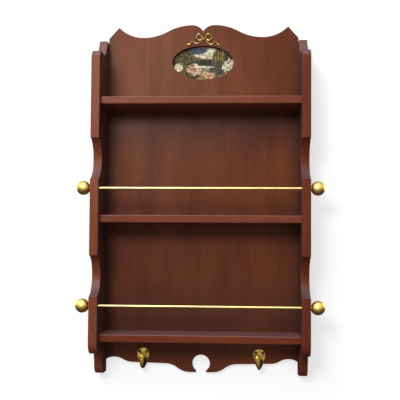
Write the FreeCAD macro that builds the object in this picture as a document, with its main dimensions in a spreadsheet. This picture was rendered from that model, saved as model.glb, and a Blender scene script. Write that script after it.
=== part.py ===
import FreeCAD, Part

# Wall plate rack: two shaped side panels, a tall back panel and three shelves, with two brass plate
# rails, two cup hooks, a ribbon bow and an oval picture.
#
# Frame: millimetres, +Z up, the front faces -Y, +X to the right of someone facing the rack. The wall is
# the plane Y = 0. The origin lies midway between the two hanger plates that hold the rack on the wall.
# Heights are measured up from the feet of the side panels, shelf by shelf, and depths from the wall.

import os
import re

import Sketcher
from FreeCAD import Placement, Rotation, Vector

SIZES = {
    # carcass
    "rack_width": 500,             # over the outer faces of the side panels
    "rack_depth": 129,             # wall to the front edges of the side panels
    "side_thickness": 20,
    "back_thickness": 12,
    "edge_bevel": 1,               # softened edges of the side panels and the back panel
    # side panel profile
    "ear_rise": 151,               # top of the ear at the back, above the top shelf
    "ear_depth": 29,               # flat top of the ear
    "ear_foot_depth": 65,
    "ear_hollow": 103,             # radius of the hollow front of the ear
    "ear_drop": 44,                # down to the flat top in front of the ear
    "side_top_round": 24,
    "side_bottom_height": 56,      # flat underside in front of the leg
    "side_bottom_round": 26,
    "leg_depth": 58,
    "leg_cove": 8,
    "leg_taper": 6,
    "leg_toe": 24,
    "cutout_radius": 48,
    "cutout_setout": 9,            # centre of a cut-out in front of the front edge
    "cutout_rise": 68,             # centre of a cut-out above the plate rail below it
    # shelves
    "shelf_thickness": 17,
    "shelf_round": 2,
    "bottom_shelf_height": 99.5,   # top of the bottom shelf above the feet
    "lower_bay_height": 256.5,     # clear height under the middle shelf
    "upper_bay_height": 256,       # clear height under the top shelf
    "shelf_setback": 16,
    "bottom_shelf_setback": 25.5,
    # plate rails
    "upper_rail_rise": 61,         # above the middle shelf
    "lower_rail_rise": 66.5,       # above the bottom shelf
    "rail_setback": 12,            # rail centre behind the front edges
    "rail_diameter": 6.4,
    "rail_clearance": 0.1,         # all round, in the side panels
    "finial_diameter": 32,
    "finial_standoff": 0.3,        # ball to side panel
    "finial_clearance": 0.3,       # collar to side panel
    "collar_diameter": 11,
    "bore_depth": 11,              # rod end inside the finial
    "bore_clearance": 0.05,
    # crest of the back panel
    "crest_rise": 194.5,           # top of the humps above the top shelf
    "crest_notch_depth": 15.1,     # this and the next three are measured down from the humps
    "crest_trough_depth": 30.5,
    "crest_peak_depth": 5,
    "crest_side_depth": 32.5,
    "crest_hump_reach": 27,
    "crest_trough_reach": 145,
    "crest_peak_inset": 24.5,      # from the side panel
    # apron of the back panel
    "apron_side_height": 29,
    "apron_arch_height": 36,
    "apron_arch_inset": 21,        # from the side panel
    "apron_dip_height": 24,
    "apron_dip_inset": 65,         # from the side panel
    "apron_turn_height": 22,
    "apron_turn_reach": 86,
    "apron_lip_height": 2,
    "apron_lip_reach": 27,
    "keyhole_radius": 21,
    "keyhole_height": 22.5,
    "keyhole_mouth": 24,
    # oval picture
    "oval_width": 148,
    "oval_height": 82,
    "oval_rise": 102,              # centre above the top shelf
    "picture_recess": 9,           # front face of the back panel to the print
    "picture_lap": 5,              # print behind the edge of the oval
    "picture_gap": 0.3,
    "print_thickness": 0.6,
    "backing_lap": 12,             # backing board behind the edge of the oval
    "brad_diameter": 1.3,
    "brad_length": 7,
    "brad_inset": 3.2,
    # hooks under the bottom shelf
    "hook_reach": 138.5,
    "hook_foot_height": 9.5,
    "hook_plate_width": 29,
    "hook_plate_height": 49.5,
    "hook_plate_thickness": 2.5,
    "hook_shoulder_height": 37,
    "hook_tip_width": 5,
    "hook_tip_rise": 1.2,
    "hook_flank_round": 75,
    "hook_arm_rise": 5.5,          # centre of the arm above the foot of the plate
    "hook_arm_thickness": 5.6,
    "hook_run": 12,                # straight run of the arm before it bends up
    "hook_bend": 13,
    "hook_rise": 20,
    "hook_root_width": 6.5,
    "hook_root_flare": 1.4,        # times as wide and thick where the arm leaves the plate
    "hook_palm_width": 12.5,
    "hook_screw_height": 40.5,
    "hook_screw_spacing": 17,
    "hook_screw_head": 7.6,
    "hook_screw_dome": 2.2,
    "hook_screw_diameter": 3,
    "hook_screw_length": 9,
    # ribbon bow over the oval
    "bow_rise": 18,                # knot above the top of the oval
    "ribbon_width": 4,
    "knot_width": 8.4,
    "bow_pin_reach": 11,
    "bow_pin_rise": 13,
    "bow_pin_diameter": 1.6,
    "bow_pin_length": 7,
    # hanger plates in the rear edges of the side panels
    "hanger_rise": 44,             # entry holes above the top shelf
    "hanger_width": 14,
    "hanger_length": 46,
    "hanger_thickness": 1.8,
    "hanger_gap": 0.2,
    "keyway_entry": 9,
    "keyway_slot": 5,
    "keyway_rise": 10,
    "keyway_room": 9,              # depth of the hollow for the head of the wall screw
    "hanger_screw_spacing": 36,
    "hanger_screw_diameter": 3,
    "hanger_screw_head": 5.6,
    "hanger_screw_length": 14,
    # dowels and shelf screws
    "dowel_diameter": 8,
    "dowel_length": 30,
    "dowel_in_side": 12,
    "dowel_inset": 22,             # dowel centre from the front and rear edges of a shelf
    "dowel_end_gap": 0.5,
    "back_dowel_diameter": 6,
    "back_dowel_length": 24,
    "back_dowel_low": 60,
    "back_dowel_spacing": 185,
    "fit_clearance": 0.05,
    "screw_diameter": 4,
    "screw_length": 38,
    "screw_head": 8,
    "screw_spacing": 150,
}

doc = FreeCAD.newDocument("WallPlateRack")
sheet = doc.addObject("Spreadsheet::Sheet", "Sizes")
for row, (alias, value) in enumerate(SIZES.items(), 1):
    sheet.set(f"A{row}", alias)
    sheet.set(f"B{row}", str(value))
    sheet.setAlias(f"B{row}", alias)
ruler = doc.addObject("App::FeaturePython", "Ruler")
doc.recompute()

nodes = []
SIDES = {"left": -1, "right": 1}

# Places that several pieces share, written with the names of the sizes. Heights are above the feet.
MIDDLE_SHELF = "(bottom_shelf_height + lower_bay_height + shelf_thickness)"
TOP_SHELF = f"({MIDDLE_SHELF} + upper_bay_height + shelf_thickness)"
SHELF_HEIGHTS = {"top": TOP_SHELF, "middle": MIDDLE_SHELF, "bottom": "bottom_shelf_height"}
RAIL_HEIGHTS = {
    "upper": f"({MIDDLE_SHELF} + upper_rail_rise)",
    "lower": "(bottom_shelf_height + lower_rail_rise)",
}
HUMP = f"({TOP_SHELF} + crest_rise)"
OVAL = f"({TOP_SHELF} + oval_rise)"
BOW = f"({OVAL} + oval_height / 2 + bow_rise)"
HANGERS = f"({TOP_SHELF} + hanger_rise)"
FRONT = "-rack_depth"
OUTER = "rack_width / 2"
INNER = "(rack_width / 2 - side_thickness)"
RAIL_Y = "(rail_setback - rack_depth)"


def height(above_feet):
    """A height above the feet as a place on Z."""
    return f"({above_feet} - {HANGERS})"


def bound(text):
    """The text as an expression, in which the name of a size stands for its cell."""
    def cell(word):
        return "Sizes." + word.group() if word.group() in SIZES else word.group()
    return re.sub(r"[a-z_]+", cell, str(text))


def number(text):
    """What the text comes to with the present sizes, in millimetres."""
    found = ruler.evalExpression(bound(text))
    return float(getattr(found, "Value", found))


def size(name):
    """One size as a number."""
    return float(sheet.get(name))


def bind(thing, **sizes):
    """Bind properties to sizes; a double underscore in a name stands for a dot."""
    for name, text in sizes.items():
        thing.setExpression(name.replace("__", "."), bound(text))
    return thing


def new_body(label):
    body = doc.addObject("PartDesign::Body", label)
    nodes.append(body)
    return body


def new_sketch(body, plane, offset="0", name="Profile", across="0", up="0"):
    """A sketch on one of the body's own origin planes, moved along the plane's normal and in the plane."""
    sketch = body.newObject("Sketcher::SketchObject", name)
    for feature in body.Origin.OriginFeatures:
        if feature.Role == plane + "_Plane":
            sketch.AttachmentSupport = [(feature, "")]
    sketch.MapMode = "FlatFace"
    return bind(sketch, AttachmentOffset__Base__x=across, AttachmentOffset__Base__y=up,
                AttachmentOffset__Base__z=offset)


def hold(sketch, kind, geometry, point, text):
    """Fix one coordinate of a point of the sketch to a size."""
    held = sketch.addConstraint(Sketcher.Constraint(kind, -1, 1, geometry, point, number(text)))
    sketch.setExpression(f"Constraints[{held}]", bound(text))


def arc_centre(begin, end, rule):
    """Centre of the short arc from begin to end that follows rule."""
    if rule[0] == "level":
        level, other = (begin, end) if rule[1] == "start" else (end, begin)
        across = other.x - level.x
        drop = (across ** 2 + other.y ** 2 - level.y ** 2) / (2 * (other.y - level.y))
        return Vector(level.x, drop, 0)
    chord = end - begin
    radius = number(rule[1])
    side = Vector(-chord.y, chord.x, 0).normalize()
    if rule[0] == "right":
        side = side * -1
    return (begin + end) * 0.5 + side * (radius ** 2 - chord.Length ** 2 / 4) ** 0.5


def outline(sketch, corners):
    """Draw a closed profile. A corner is (u, v) at the end of a straight edge, or (u, v, turn, how) at
    the end of an arc: turn is left or right, with how its radius, or level, with how the end of the arc
    (start or end) that runs level."""
    places = [Vector(number(corner[0]), number(corner[1]), 0) for corner in corners]
    ends = []
    for index, corner in enumerate(corners):
        begin, end = places[index - 1], places[index]
        if len(corner) == 2:
            edge = sketch.addGeometry(Part.LineSegment(begin, end), False)
            first, last = 1, 2
        else:
            centre = arc_centre(begin, end, corner[2:])
            turns_left = (end - begin).cross(centre - begin).z > 0
            first, last = (1, 2) if turns_left else (2, 1)
            low, high = (begin, end) if turns_left else (end, begin)
            radius = (begin - centre).Length
            ring = Part.Circle(centre, Vector(0, 0, 1), radius)
            begins, stops = ring.parameter(low), ring.parameter(high)
            edge = sketch.addGeometry(Part.ArcOfCircle(ring, begins, stops), False)
            if corner[2] == "level":
                level = first if corner[3] == "start" else last
                sketch.addConstraint(Sketcher.Constraint("Vertical", edge, 3, edge, level))
            else:
                held = sketch.addConstraint(Sketcher.Constraint("Radius", edge, radius))
                sketch.setExpression(f"Constraints[{held}]", bound(corner[3]))
        ends.append((edge, first, last))
    for index, corner in enumerate(corners):
        edge, first, last = ends[index]
        before = ends[index - 1]
        sketch.addConstraint(Sketcher.Constraint("Coincident", before[0], before[2], edge, first))
        hold(sketch, "DistanceX", edge, last, corner[0])
        hold(sketch, "DistanceY", edge, last, corner[1])
    if sketch.solve() != 0:
        raise RuntimeError(f"{sketch.Label} can't be solved")
    return sketch


def rectangle(sketch, left, bottom, right, top):
    return outline(sketch, [(left, bottom), (right, bottom), (right, top), (left, top)])


def stadium(sketch, width, length):
    """An upright shape with half-round ends, about the sketch's origin."""
    side, shoulder = f"({width}) / 2", f"({length} - ({width})) / 2"
    return outline(sketch, [
        (side, shoulder),
        ("0", f"({length}) / 2", "level", "end"),
        (f"-{side}", shoulder, "level", "start"),
        (f"-{side}", f"-{shoulder}"),
        ("0", f"-({length}) / 2", "level", "end"),
        (side, f"-{shoulder}", "level", "start"),
    ])


def circle(sketch, u, v, radius):
    """A circle in the sketch, its centre and radius held by sizes."""
    centre = Vector(number(u), number(v), 0)
    made = sketch.addGeometry(Part.Circle(centre, Vector(0, 0, 1), number(radius)), False)
    hold(sketch, "DistanceX", made, 3, u)
    hold(sketch, "DistanceY", made, 3, v)
    held = sketch.addConstraint(Sketcher.Constraint("Radius", made, number(radius)))
    sketch.setExpression(f"Constraints[{held}]", bound(radius))
    return sketch


def ellipse(sketch, u, v, width, tall):
    """An ellipse in the sketch with level and upright axes."""
    wide, high = number(width) / 2, number(tall) / 2
    centre = Vector(number(u), number(v), 0)
    across = centre + Vector(wide, 0, 0)
    up = centre + Vector(0, high, 0)
    if wide < high:
        across, up = up, centre - Vector(wide, 0, 0)
    made = sketch.addGeometry(Part.Ellipse(across, up, centre), False)
    sketch.exposeInternalGeometry(made)
    long_size, short_size = (width, tall) if wide >= high else (tall, width)
    hold(sketch, "DistanceX", made, 3, u)
    hold(sketch, "DistanceY", made, 3, v)
    direction = "Horizontal" if wide >= high else "Vertical"
    sketch.addConstraint(Sketcher.Constraint(direction, made + 1))
    for axis, text in ((made + 1, long_size), (made + 2, short_size)):
        held = sketch.addConstraint(Sketcher.Constraint("Distance", axis, 1, axis, 2, number(text)))
        sketch.setExpression(f"Constraints[{held}]", bound(text))
    return sketch


def pad(body, sketch, length, backwards=False):
    made = body.newObject("PartDesign::Pad", "Board")
    made.Profile = sketch
    made.Reversed = backwards
    bind(made, Length=length)
    doc.recompute()
    return made


def pocket(body, sketch, depth=None, backwards=False):
    """Cut the sketch to a depth, or right through; a cut that removes nothing is an error."""
    before = body.Shape.Volume
    made = body.newObject("PartDesign::Pocket", "Cut")
    made.Profile = sketch
    if depth is None:
        made.Type = "ThroughAll"
        made.Midplane = True
    else:
        made.Reversed = backwards
        bind(made, Length=depth)
    doc.recompute()
    if not body.Shape.Volume < before:
        raise RuntimeError(f"{sketch.Label} of {body.Label} cuts nothing")
    return made


def drill(body, sketch, diameter, head, clearance="fit_clearance"):
    """Screw holes right through, countersunk where the sketch lies."""
    before = body.Shape.Volume
    made = body.newObject("PartDesign::Hole", "Countersunk")
    made.Profile = sketch
    made.DepthType = "ThroughAll"
    made.HoleCutType = "Countersink"
    made.HoleCutCustomValues = True
    made.HoleCutCountersinkAngle = 90
    made.Reversed = True
    bind(made, Diameter=f"{diameter} + 2 * {clearance}", HoleCutDiameter=f"{head} + 2 * {clearance}")
    doc.recompute()
    if not body.Shape.Volume < before:
        raise RuntimeError(f"{sketch.Label} of {body.Label} drills nothing")
    return made


def turn(body, sketch, axis="H_Axis"):
    made = body.newObject("PartDesign::Revolution", "Turned")
    made.Profile = sketch
    made.ReferenceAxis = (sketch, [axis])
    made.Angle = 360
    doc.recompute()
    return made


def soften(body, base, chosen, kind, **sizes):
    """Chamfer or fillet the edges of a feature for which chosen is true."""
    edges = [f"Edge{index}" for index, edge in enumerate(base.Shape.Edges, 1) if chosen(edge.BoundBox)]
    made = body.newObject(f"PartDesign::{kind}", "Softened")
    made.Base = (base, edges)
    bind(made, **sizes)
    doc.recompute()
    return made


def level_with(low, high, place):
    return abs(low - place) < 0.01 and abs(high - place) < 0.01


# Side panels ------------------------------------------------------------------------------------------

def side_panel(name, sign):
    """A board on edge: ear and quarter-rounds at the top, leg at the foot, two round cut-outs."""
    body = new_body(f"{name}_side_panel")
    inner = f"{sign} * {INNER}"
    low_face = inner if sign > 0 else f"-{OUTER}"
    ear_top = f"{TOP_SHELF} + ear_rise"
    profile = new_sketch(body, "YZ", low_face)
    outline(profile, [
        ("0", height("0")),
        ("0", height(ear_top)),
        ("-ear_depth", height(ear_top)),
        ("-ear_foot_depth", height(f"{ear_top} - ear_drop"), "right", "ear_hollow"),
        (f"{FRONT} + side_top_round", height(f"{ear_top} - ear_drop")),
        (FRONT, height(f"{ear_top} - ear_drop - side_top_round"), "left", "side_top_round"),
        (FRONT, height("side_bottom_height + side_bottom_round")),
        (f"{FRONT} + side_bottom_round", height("side_bottom_height"), "left", "side_bottom_round"),
        ("-leg_depth - leg_cove", height("side_bottom_height")),
        ("-leg_depth", height("side_bottom_height - leg_cove"), "right", "leg_cove"),
        ("leg_taper - leg_depth", height("leg_toe")),
        ("leg_taper + leg_toe - leg_depth", height("0"), "left", "leg_toe"),
    ])
    pad(body, profile, "side_thickness")
    for which, rail_height in RAIL_HEIGHTS.items():
        cutout = new_sketch(body, "YZ", inner, f"{which}_cutout")
        circle(cutout, f"{FRONT} - cutout_setout", height(f"{rail_height} + cutout_rise"), "cutout_radius")
        shaped = pocket(body, cutout)
    faces = (sign * number(INNER), sign * number(OUTER))
    front_of_wall = -1

    def beside_front(box):
        return box.YMin < front_of_wall and any(level_with(box.XMin, box.XMax, face) for face in faces)

    soften(body, shaped, beside_front, "Chamfer", Size="edge_bevel")
    for which, rail_height in RAIL_HEIGHTS.items():
        hole = new_sketch(body, "YZ", inner, f"{which}_rail_hole")
        circle(hole, RAIL_Y, height(rail_height), "rail_diameter / 2 + rail_clearance")
        pocket(body, hole)
    into_side = sign > 0
    dowels = new_sketch(body, "YZ", inner, "shelf_dowel_holes")
    for shelf in SHELVES:
        for place in shelf_dowel_places(shelf):
            circle(dowels, place[0], place[1], "dowel_diameter / 2 + fit_clearance")
    pocket(body, dowels, "dowel_in_side", into_side)
    back_dowels = new_sketch(body, "YZ", inner, "back_dowel_holes")
    for place in back_dowel_heights():
        circle(back_dowels, "-back_thickness / 2", place, "back_dowel_diameter / 2 + fit_clearance")
    pocket(body, back_dowels, "back_dowel_length / 2 + dowel_end_gap", into_side)
    hanger_seat(body, sign)
    return body


def hanger_centre(sign):
    """Middle of a side panel's thickness, on X."""
    return f"{sign} * ({OUTER} - side_thickness / 2)"


def hanger_seat(body, sign):
    """Recess for a hanger plate in the rear edge, its screw holes and the hollow behind its keyway."""
    centre = hanger_centre(sign)
    seat = new_sketch(body, "XZ", "0", "hanger_seat", centre, "keyway_rise / 2")
    stadium(seat, "hanger_width + 2 * hanger_gap", "hanger_length + 2 * hanger_gap")
    pocket(body, seat, "hanger_thickness", True)
    room = new_sketch(body, "XZ", "0", "keyway_room")
    rectangle(room, f"{centre} - keyway_entry / 2", "-keyway_entry / 2",
              f"{centre} + keyway_entry / 2", "keyway_rise + keyway_entry / 2")
    pocket(body, room, "hanger_thickness + keyway_room", True)
    screws = new_sketch(body, "XZ", "0", "hanger_screw_holes")
    for end in (-1, 1):
        circle(screws, centre, f"keyway_rise / 2 + {end} * hanger_screw_spacing / 2",
               "hanger_screw_diameter / 2 + fit_clearance")
    pocket(body, screws, "hanger_screw_length + dowel_end_gap", True)


# Shelves ----------------------------------------------------------------------------------------------

SHELVES = {"top": "shelf_setback", "middle": "shelf_setback", "bottom": "bottom_shelf_setback"}


def shelf_middle(shelf):
    """Height of the middle of a shelf's thickness."""
    return height(f"{SHELF_HEIGHTS[shelf]} - shelf_thickness / 2")


def shelf_dowel_places(shelf):
    """The two dowels at each end of a shelf, as places on Y and Z."""
    rear = "-back_thickness - dowel_inset"
    front = f"{FRONT} + {SHELVES[shelf]} + dowel_inset"
    return [(rear, shelf_middle(shelf)), (front, shelf_middle(shelf))]


def back_dowel_heights():
    return [height(f"back_dowel_low + {step} * back_dowel_spacing") for step in range(4)]


def shelf_screw_places(shelf):
    """Screws through the back panel into the rear edge of a shelf, as places on X and Z."""
    return [(f"{step} * screw_spacing", shelf_middle(shelf)) for step in (-1, 0, 1)]


def shelf_board(shelf):
    """A plain board between the sides, its two front edges rounded over."""
    body = new_body(f"{shelf}_shelf")
    front = f"{FRONT} + {SHELVES[shelf]}"
    profile = new_sketch(body, "YZ", f"-{INNER}")
    top = SHELF_HEIGHTS[shelf]
    rectangle(profile, front, height(f"{top} - shelf_thickness"), "-back_thickness", height(top))
    board = pad(body, profile, f"2 * {INNER}")
    front_y = number(front)
    inside = 1

    def front_corner(box):
        return level_with(box.YMin, box.YMax, front_y) and box.XLength > inside

    soften(body, board, front_corner, "Fillet", Radius="shelf_round")
    for name, sign in SIDES.items():
        holes = new_sketch(body, "YZ", f"{sign} * {INNER}", f"{name}_dowel_holes")
        for place in shelf_dowel_places(shelf):
            circle(holes, place[0], place[1], "dowel_diameter / 2 + fit_clearance")
        pocket(body, holes, "dowel_length - dowel_in_side + 2 * dowel_end_gap", sign < 0)
    screws = new_sketch(body, "XZ", "back_thickness", "screw_holes")
    for place in shelf_screw_places(shelf):
        circle(screws, place[0], place[1], "screw_diameter / 2 + fit_clearance")
    pocket(body, screws, "screw_length - back_thickness + dowel_end_gap", True)
    return body


# Back panel -------------------------------------------------------------------------------------------

def mirrored(half):
    """A profile on both sides of X = 0 from its right half, which starts and ends on X = 0 or beside it.
    The half runs anticlockwise; the way back to the start swaps which end of an arc is level."""
    swapped = {"start": "end", "end": "start"}
    whole = list(half[1:])
    for index in range(len(half) - 1, 0, -1):
        corner, target = half[index], half[index - 1]
        rule = corner[2:]
        if rule and rule[0] == "level":
            rule = ("level", swapped[rule[1]])
        whole.append((f"-({target[0]})", target[1]) + tuple(rule))
    return whole


def back_outline():
    """Right half of the back panel, from the lip beside the keyhole out, up and back to the notch."""
    crest_middle = "(crest_hump_reach + crest_trough_reach) / 2"
    crest_level = height(f"({HUMP} - crest_trough_depth / 2)")
    dip, arch = f"({INNER} - apron_dip_inset)", f"({INNER} - apron_arch_inset)"
    lip_middle = "(apron_lip_reach + apron_turn_reach) / 2"
    lip_level = height("(apron_lip_height + apron_turn_height) / 2")
    dip_middle = f"({dip} + {arch}) / 2"
    dip_level = height("(apron_dip_height + apron_arch_height) / 2")
    mouth_rise = "sqrt(keyhole_radius ^ 2 - keyhole_mouth ^ 2 / 4)"
    return [
        ("0", height("keyhole_height + keyhole_radius")),
        ("keyhole_mouth / 2", height(f"keyhole_height - {mouth_rise}"), "level", "start"),
        ("keyhole_mouth / 2", height("apron_lip_height")),
        ("apron_lip_reach", height("apron_lip_height")),
        (lip_middle, lip_level, "level", "start"),
        ("apron_turn_reach", height("apron_turn_height"), "level", "end"),
        (dip, height("apron_dip_height")),
        (dip_middle, dip_level, "level", "start"),
        (arch, height("apron_arch_height"), "level", "end"),
        (INNER, height("apron_side_height"), "level", "start"),
        (INNER, height(f"{HUMP} - crest_side_depth")),
        (f"{INNER} - crest_peak_inset", height(f"{HUMP} - crest_peak_depth")),
        ("crest_trough_reach", height(f"{HUMP} - crest_trough_depth"), "level", "end"),
        (crest_middle, crest_level, "level", "start"),
        ("crest_hump_reach", height(HUMP), "level", "end"),
        ("0", height(f"{HUMP} - crest_notch_depth"), "level", "start"),
    ]


def back_panel():
    """One board from crest to apron, with the oval opening and its rebate behind."""
    body = new_body("back_panel")
    profile = new_sketch(body, "XZ")
    outline(profile, mirrored(back_outline()))
    board = pad(body, profile, "back_thickness")
    oval = new_sketch(body, "XZ", "0", "oval")
    ellipse(oval, "0", height(OVAL), "oval_width", "oval_height")
    opened = pocket(body, oval)
    front_y = -number("back_thickness")
    half = number(INNER)
    tall = number(HUMP) / 2

    def shaped_edge(box):
        beside_side_panel = level_with(box.XMin, box.XMax, half) or level_with(box.XMin, box.XMax, -half)
        return level_with(box.YMin, box.YMax, front_y) and not beside_side_panel and box.ZLength < tall

    soften(body, opened, shaped_edge, "Chamfer", Size="edge_bevel")
    rebate = new_sketch(body, "XZ", "0", "rebate")
    backing_shape(rebate, "0")
    pocket(body, rebate, "back_thickness - picture_recess", True)
    brads = new_sketch(body, "XZ", "0", "brad_holes")
    for place in brad_places():
        circle(brads, place[0], place[1], "brad_diameter / 2 + fit_clearance")
    pocket(body, brads, "brad_length + dowel_end_gap", True)
    for name, sign in SIDES.items():
        holes = new_sketch(body, "YZ", f"{sign} * {INNER}", f"{name}_dowel_holes")
        for place in back_dowel_heights():
            circle(holes, "-back_thickness / 2", place, "back_dowel_diameter / 2 + fit_clearance")
        pocket(body, holes, "back_dowel_length / 2 + dowel_end_gap", sign < 0)
    screws = new_sketch(body, "XZ", "0", "screw_holes")
    for shelf in SHELVES:
        for place in shelf_screw_places(shelf):
            circle(screws, place[0], place[1], "screw_diameter / 2")
    drill(body, screws, "screw_diameter", "screw_head")
    small = new_sketch(body, "XZ", "back_thickness", "hook_screw_holes")
    for name, sign in SIDES.items():
        for place in hook_screw_places(sign):
            circle(small, place[0], place[1], "hook_screw_diameter / 2 + fit_clearance")
    pocket(body, small, "hook_screw_length - hook_plate_thickness + dowel_end_gap")
    pins = new_sketch(body, "XZ", "back_thickness", "bow_pin_holes")
    for name, sign in SIDES.items():
        circle(pins, f"{sign} * bow_pin_reach", height(f"{BOW} + bow_pin_rise"),
               "bow_pin_diameter / 2 + fit_clearance")
    pocket(body, pins, "bow_pin_length + dowel_end_gap")
    return body


def hook_screw_places(sign):
    """The two screws of a hook, as places on X and Z."""
    middle = f"{sign} * hook_reach"
    level = height("hook_foot_height + hook_screw_height")
    return [(f"{middle} + {side} * hook_screw_spacing / 2", level) for side in (-1, 1)]


# Oval picture -----------------------------------------------------------------------------------------

def backing_shape(sketch, gap):
    """The backing board's outline, smaller all round by a gap."""
    across = f"(oval_width / 2 + backing_lap - {gap})"
    up = f"(oval_height / 2 + backing_lap - {gap})"
    middle = height(OVAL)
    return rectangle(sketch, f"-{across}", f"{middle} - {up}", across, f"{middle} + {up}")


def brad_places():
    """A brad in each corner of the backing board, as places on X and Z."""
    across = "(oval_width / 2 + backing_lap - brad_inset)"
    up = "(oval_height / 2 + backing_lap - brad_inset)"
    middle = height(OVAL)
    return [(f"{side} * {across}", f"{middle} + {end} * {up}") for side in (-1, 1) for end in (-1, 1)]


def picture():
    """The print behind the oval, the board that backs it and the brads that hold both."""
    paper = new_body("picture_print")
    sheet_shape = new_sketch(paper, "XZ", "back_thickness - picture_recess - print_thickness")
    across, up = "(oval_width / 2 + picture_lap)", "(oval_height / 2 + picture_lap)"
    middle = height(OVAL)
    rectangle(sheet_shape, f"-{across}", f"{middle} - {up}", across, f"{middle} + {up}")
    pad(paper, sheet_shape, "print_thickness")
    board = new_body("picture_backing")
    shape = new_sketch(board, "XZ")
    backing_shape(shape, "picture_gap")
    pad(board, shape, "back_thickness - picture_recess - print_thickness")
    holes = new_sketch(board, "XZ", "0", "brad_holes")
    pins = new_body("picture_brads")
    shanks = new_sketch(pins, "XZ")
    for place in brad_places():
        circle(holes, place[0], place[1], "brad_diameter / 2 + fit_clearance")
        circle(shanks, place[0], place[1], "brad_diameter / 2")
    pocket(board, holes)
    pad(pins, shanks, "brad_length")


# Plate rails ------------------------------------------------------------------------------------------

COLLAR_FACE = f"({OUTER} + finial_clearance)"
ROD_END = f"({COLLAR_FACE} + bore_depth)"


def rail(which):
    """A rod through both side panels, free to turn, with a ball finial driven onto each end."""
    rod = new_body(f"{which}_rail_rod")
    section = new_sketch(rod, "YZ", f"-{ROD_END}")
    circle(section, RAIL_Y, height(RAIL_HEIGHTS[which]), "rail_diameter / 2")
    pad(rod, section, f"2 * {ROD_END}")
    for name, sign in SIDES.items():
        ball = new_body(f"{which}_{name}_finial")
        half = new_sketch(ball, "XZ", f"-{RAIL_Y}", "half_profile", "0", height(RAIL_HEIGHTS[which]))
        radius, neck = "(finial_diameter / 2)", "(collar_diameter / 2)"
        centre = f"({OUTER} + finial_standoff + {radius})"
        bore = "(rail_diameter / 2 + bore_clearance)"
        outline(half, [
            (f"{sign} * {COLLAR_FACE}", bore),
            (f"{sign} * {COLLAR_FACE}", neck),
            (f"{sign} * ({centre} - sqrt({radius} ^ 2 - {neck} ^ 2))", neck),
            (f"{sign} * ({centre} + {radius})", "0", "right" if sign > 0 else "left", radius),
            (f"{sign} * {ROD_END}", "0"),
            (f"{sign} * {ROD_END}", bore),
        ])
        turn(ball, half)


# Hooks under the bottom shelf -------------------------------------------------------------------------

ARM_STEPS = 3      # sections along the bend
ARM_LEAN = 83      # degrees that the bend turns
ARM_SPREAD = 0.55  # share of the widening that the bend has reached at its end
ARM_TIP = ((0.55, 1), (0.8, 0.9), (0.95, 0.6), (1, 0.25))    # shares of the rise, and how full there


def hook_plate_outline():
    """Right half of a hook's plate, from the foot up to the crown."""
    return [
        ("0", "0"),
        ("hook_tip_width / 2", "hook_tip_rise", "level", "start"),
        ("hook_plate_width / 2", "hook_shoulder_height", "left", "hook_flank_round"),
        ("0", "hook_plate_height", "level", "end"),
    ]


def arm_sections():
    """Cross-sections of a hook's arm from the plate to its rounded end: how far forward of the plate
    and above its foot, the tilt of the section in degrees, and its width and thickness."""
    sections = [
        ("0", "hook_arm_rise", 0,
         "hook_root_flare * hook_root_width", "hook_root_flare * hook_arm_thickness"),
        ("hook_run / 3", "hook_arm_rise", 0, "hook_root_width", "hook_arm_thickness"),
    ]
    for step in range(ARM_STEPS + 1):
        tilt = ARM_LEAN * step / ARM_STEPS
        widened = ARM_SPREAD * step / ARM_STEPS
        sections.append((
            f"hook_run + hook_bend * sin({tilt} deg)",
            f"hook_arm_rise + hook_bend * (1 - cos({tilt} deg))",
            tilt,
            f"hook_root_width + {widened} * (hook_palm_width - hook_root_width)",
            "hook_arm_thickness",
        ))
    bend_end, bend_rise = sections[-1][:2]
    for share, plump in ARM_TIP:
        along = f"{share} * hook_rise"
        sections.append((
            f"{bend_end} + {along} * cos({ARM_LEAN} deg)",
            f"{bend_rise} + {along} * sin({ARM_LEAN} deg)",
            ARM_LEAN,
            f"{plump} * hook_palm_width",
            f"{plump} * hook_arm_thickness",
        ))
    return sections


def hook(name, sign):
    """A cast cup hook: shield-shaped plate and an arm that runs forward and up to a rounded end."""
    body = new_body(f"{name}_hook")
    foot = height("hook_foot_height")
    middle = f"{sign} * hook_reach"
    shield = new_sketch(body, "XZ", "back_thickness", "shield", middle, foot)
    outline(shield, mirrored(hook_plate_outline()))
    pad(body, shield, "hook_plate_thickness")
    screws = new_sketch(body, "XZ", "back_thickness", "screw_holes", "0", "0")
    for place in hook_screw_places(sign):
        circle(screws, place[0], place[1], "hook_screw_diameter / 2 + fit_clearance")
    pocket(body, screws)
    rings = []
    for forward, rise, tilt, width, thick in arm_sections():
        ring = new_sketch(body, "XZ", f"back_thickness + hook_plate_thickness / 2 + {forward}",
                          "arm_section", middle, f"{foot} + {rise}")
        ring.AttachmentOffset = Placement(ring.AttachmentOffset.Base, Rotation(Vector(1, 0, 0), -tilt))
        ellipse(ring, "0", "0", width, thick)
        rings.append(ring)
    doc.recompute()
    arm = body.newObject("PartDesign::AdditiveLoft", "Arm")
    arm.Profile = rings[0]
    arm.Sections = rings[1:]
    doc.recompute()


# Ribbon bow over the oval -----------------------------------------------------------------------------

# The strands of the right half as places right of and above the knot: an arc runs through every three,
# and the last of three is the first of the next
RIBBON_STRANDS = (
    ((1, 1), (5, 9), (11, 13), (16.5, 12.5), (19, 6), (18, -1), (15.5, -3), (8, -2.5), (1, -1)),
    ((2, -2), (9, -4.5), (13.5, -9), (17.5, -13), (22, -10.5), (25, -6), (29, -5), (33.5, -11),
     (39.5, -14.5)),
)


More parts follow.
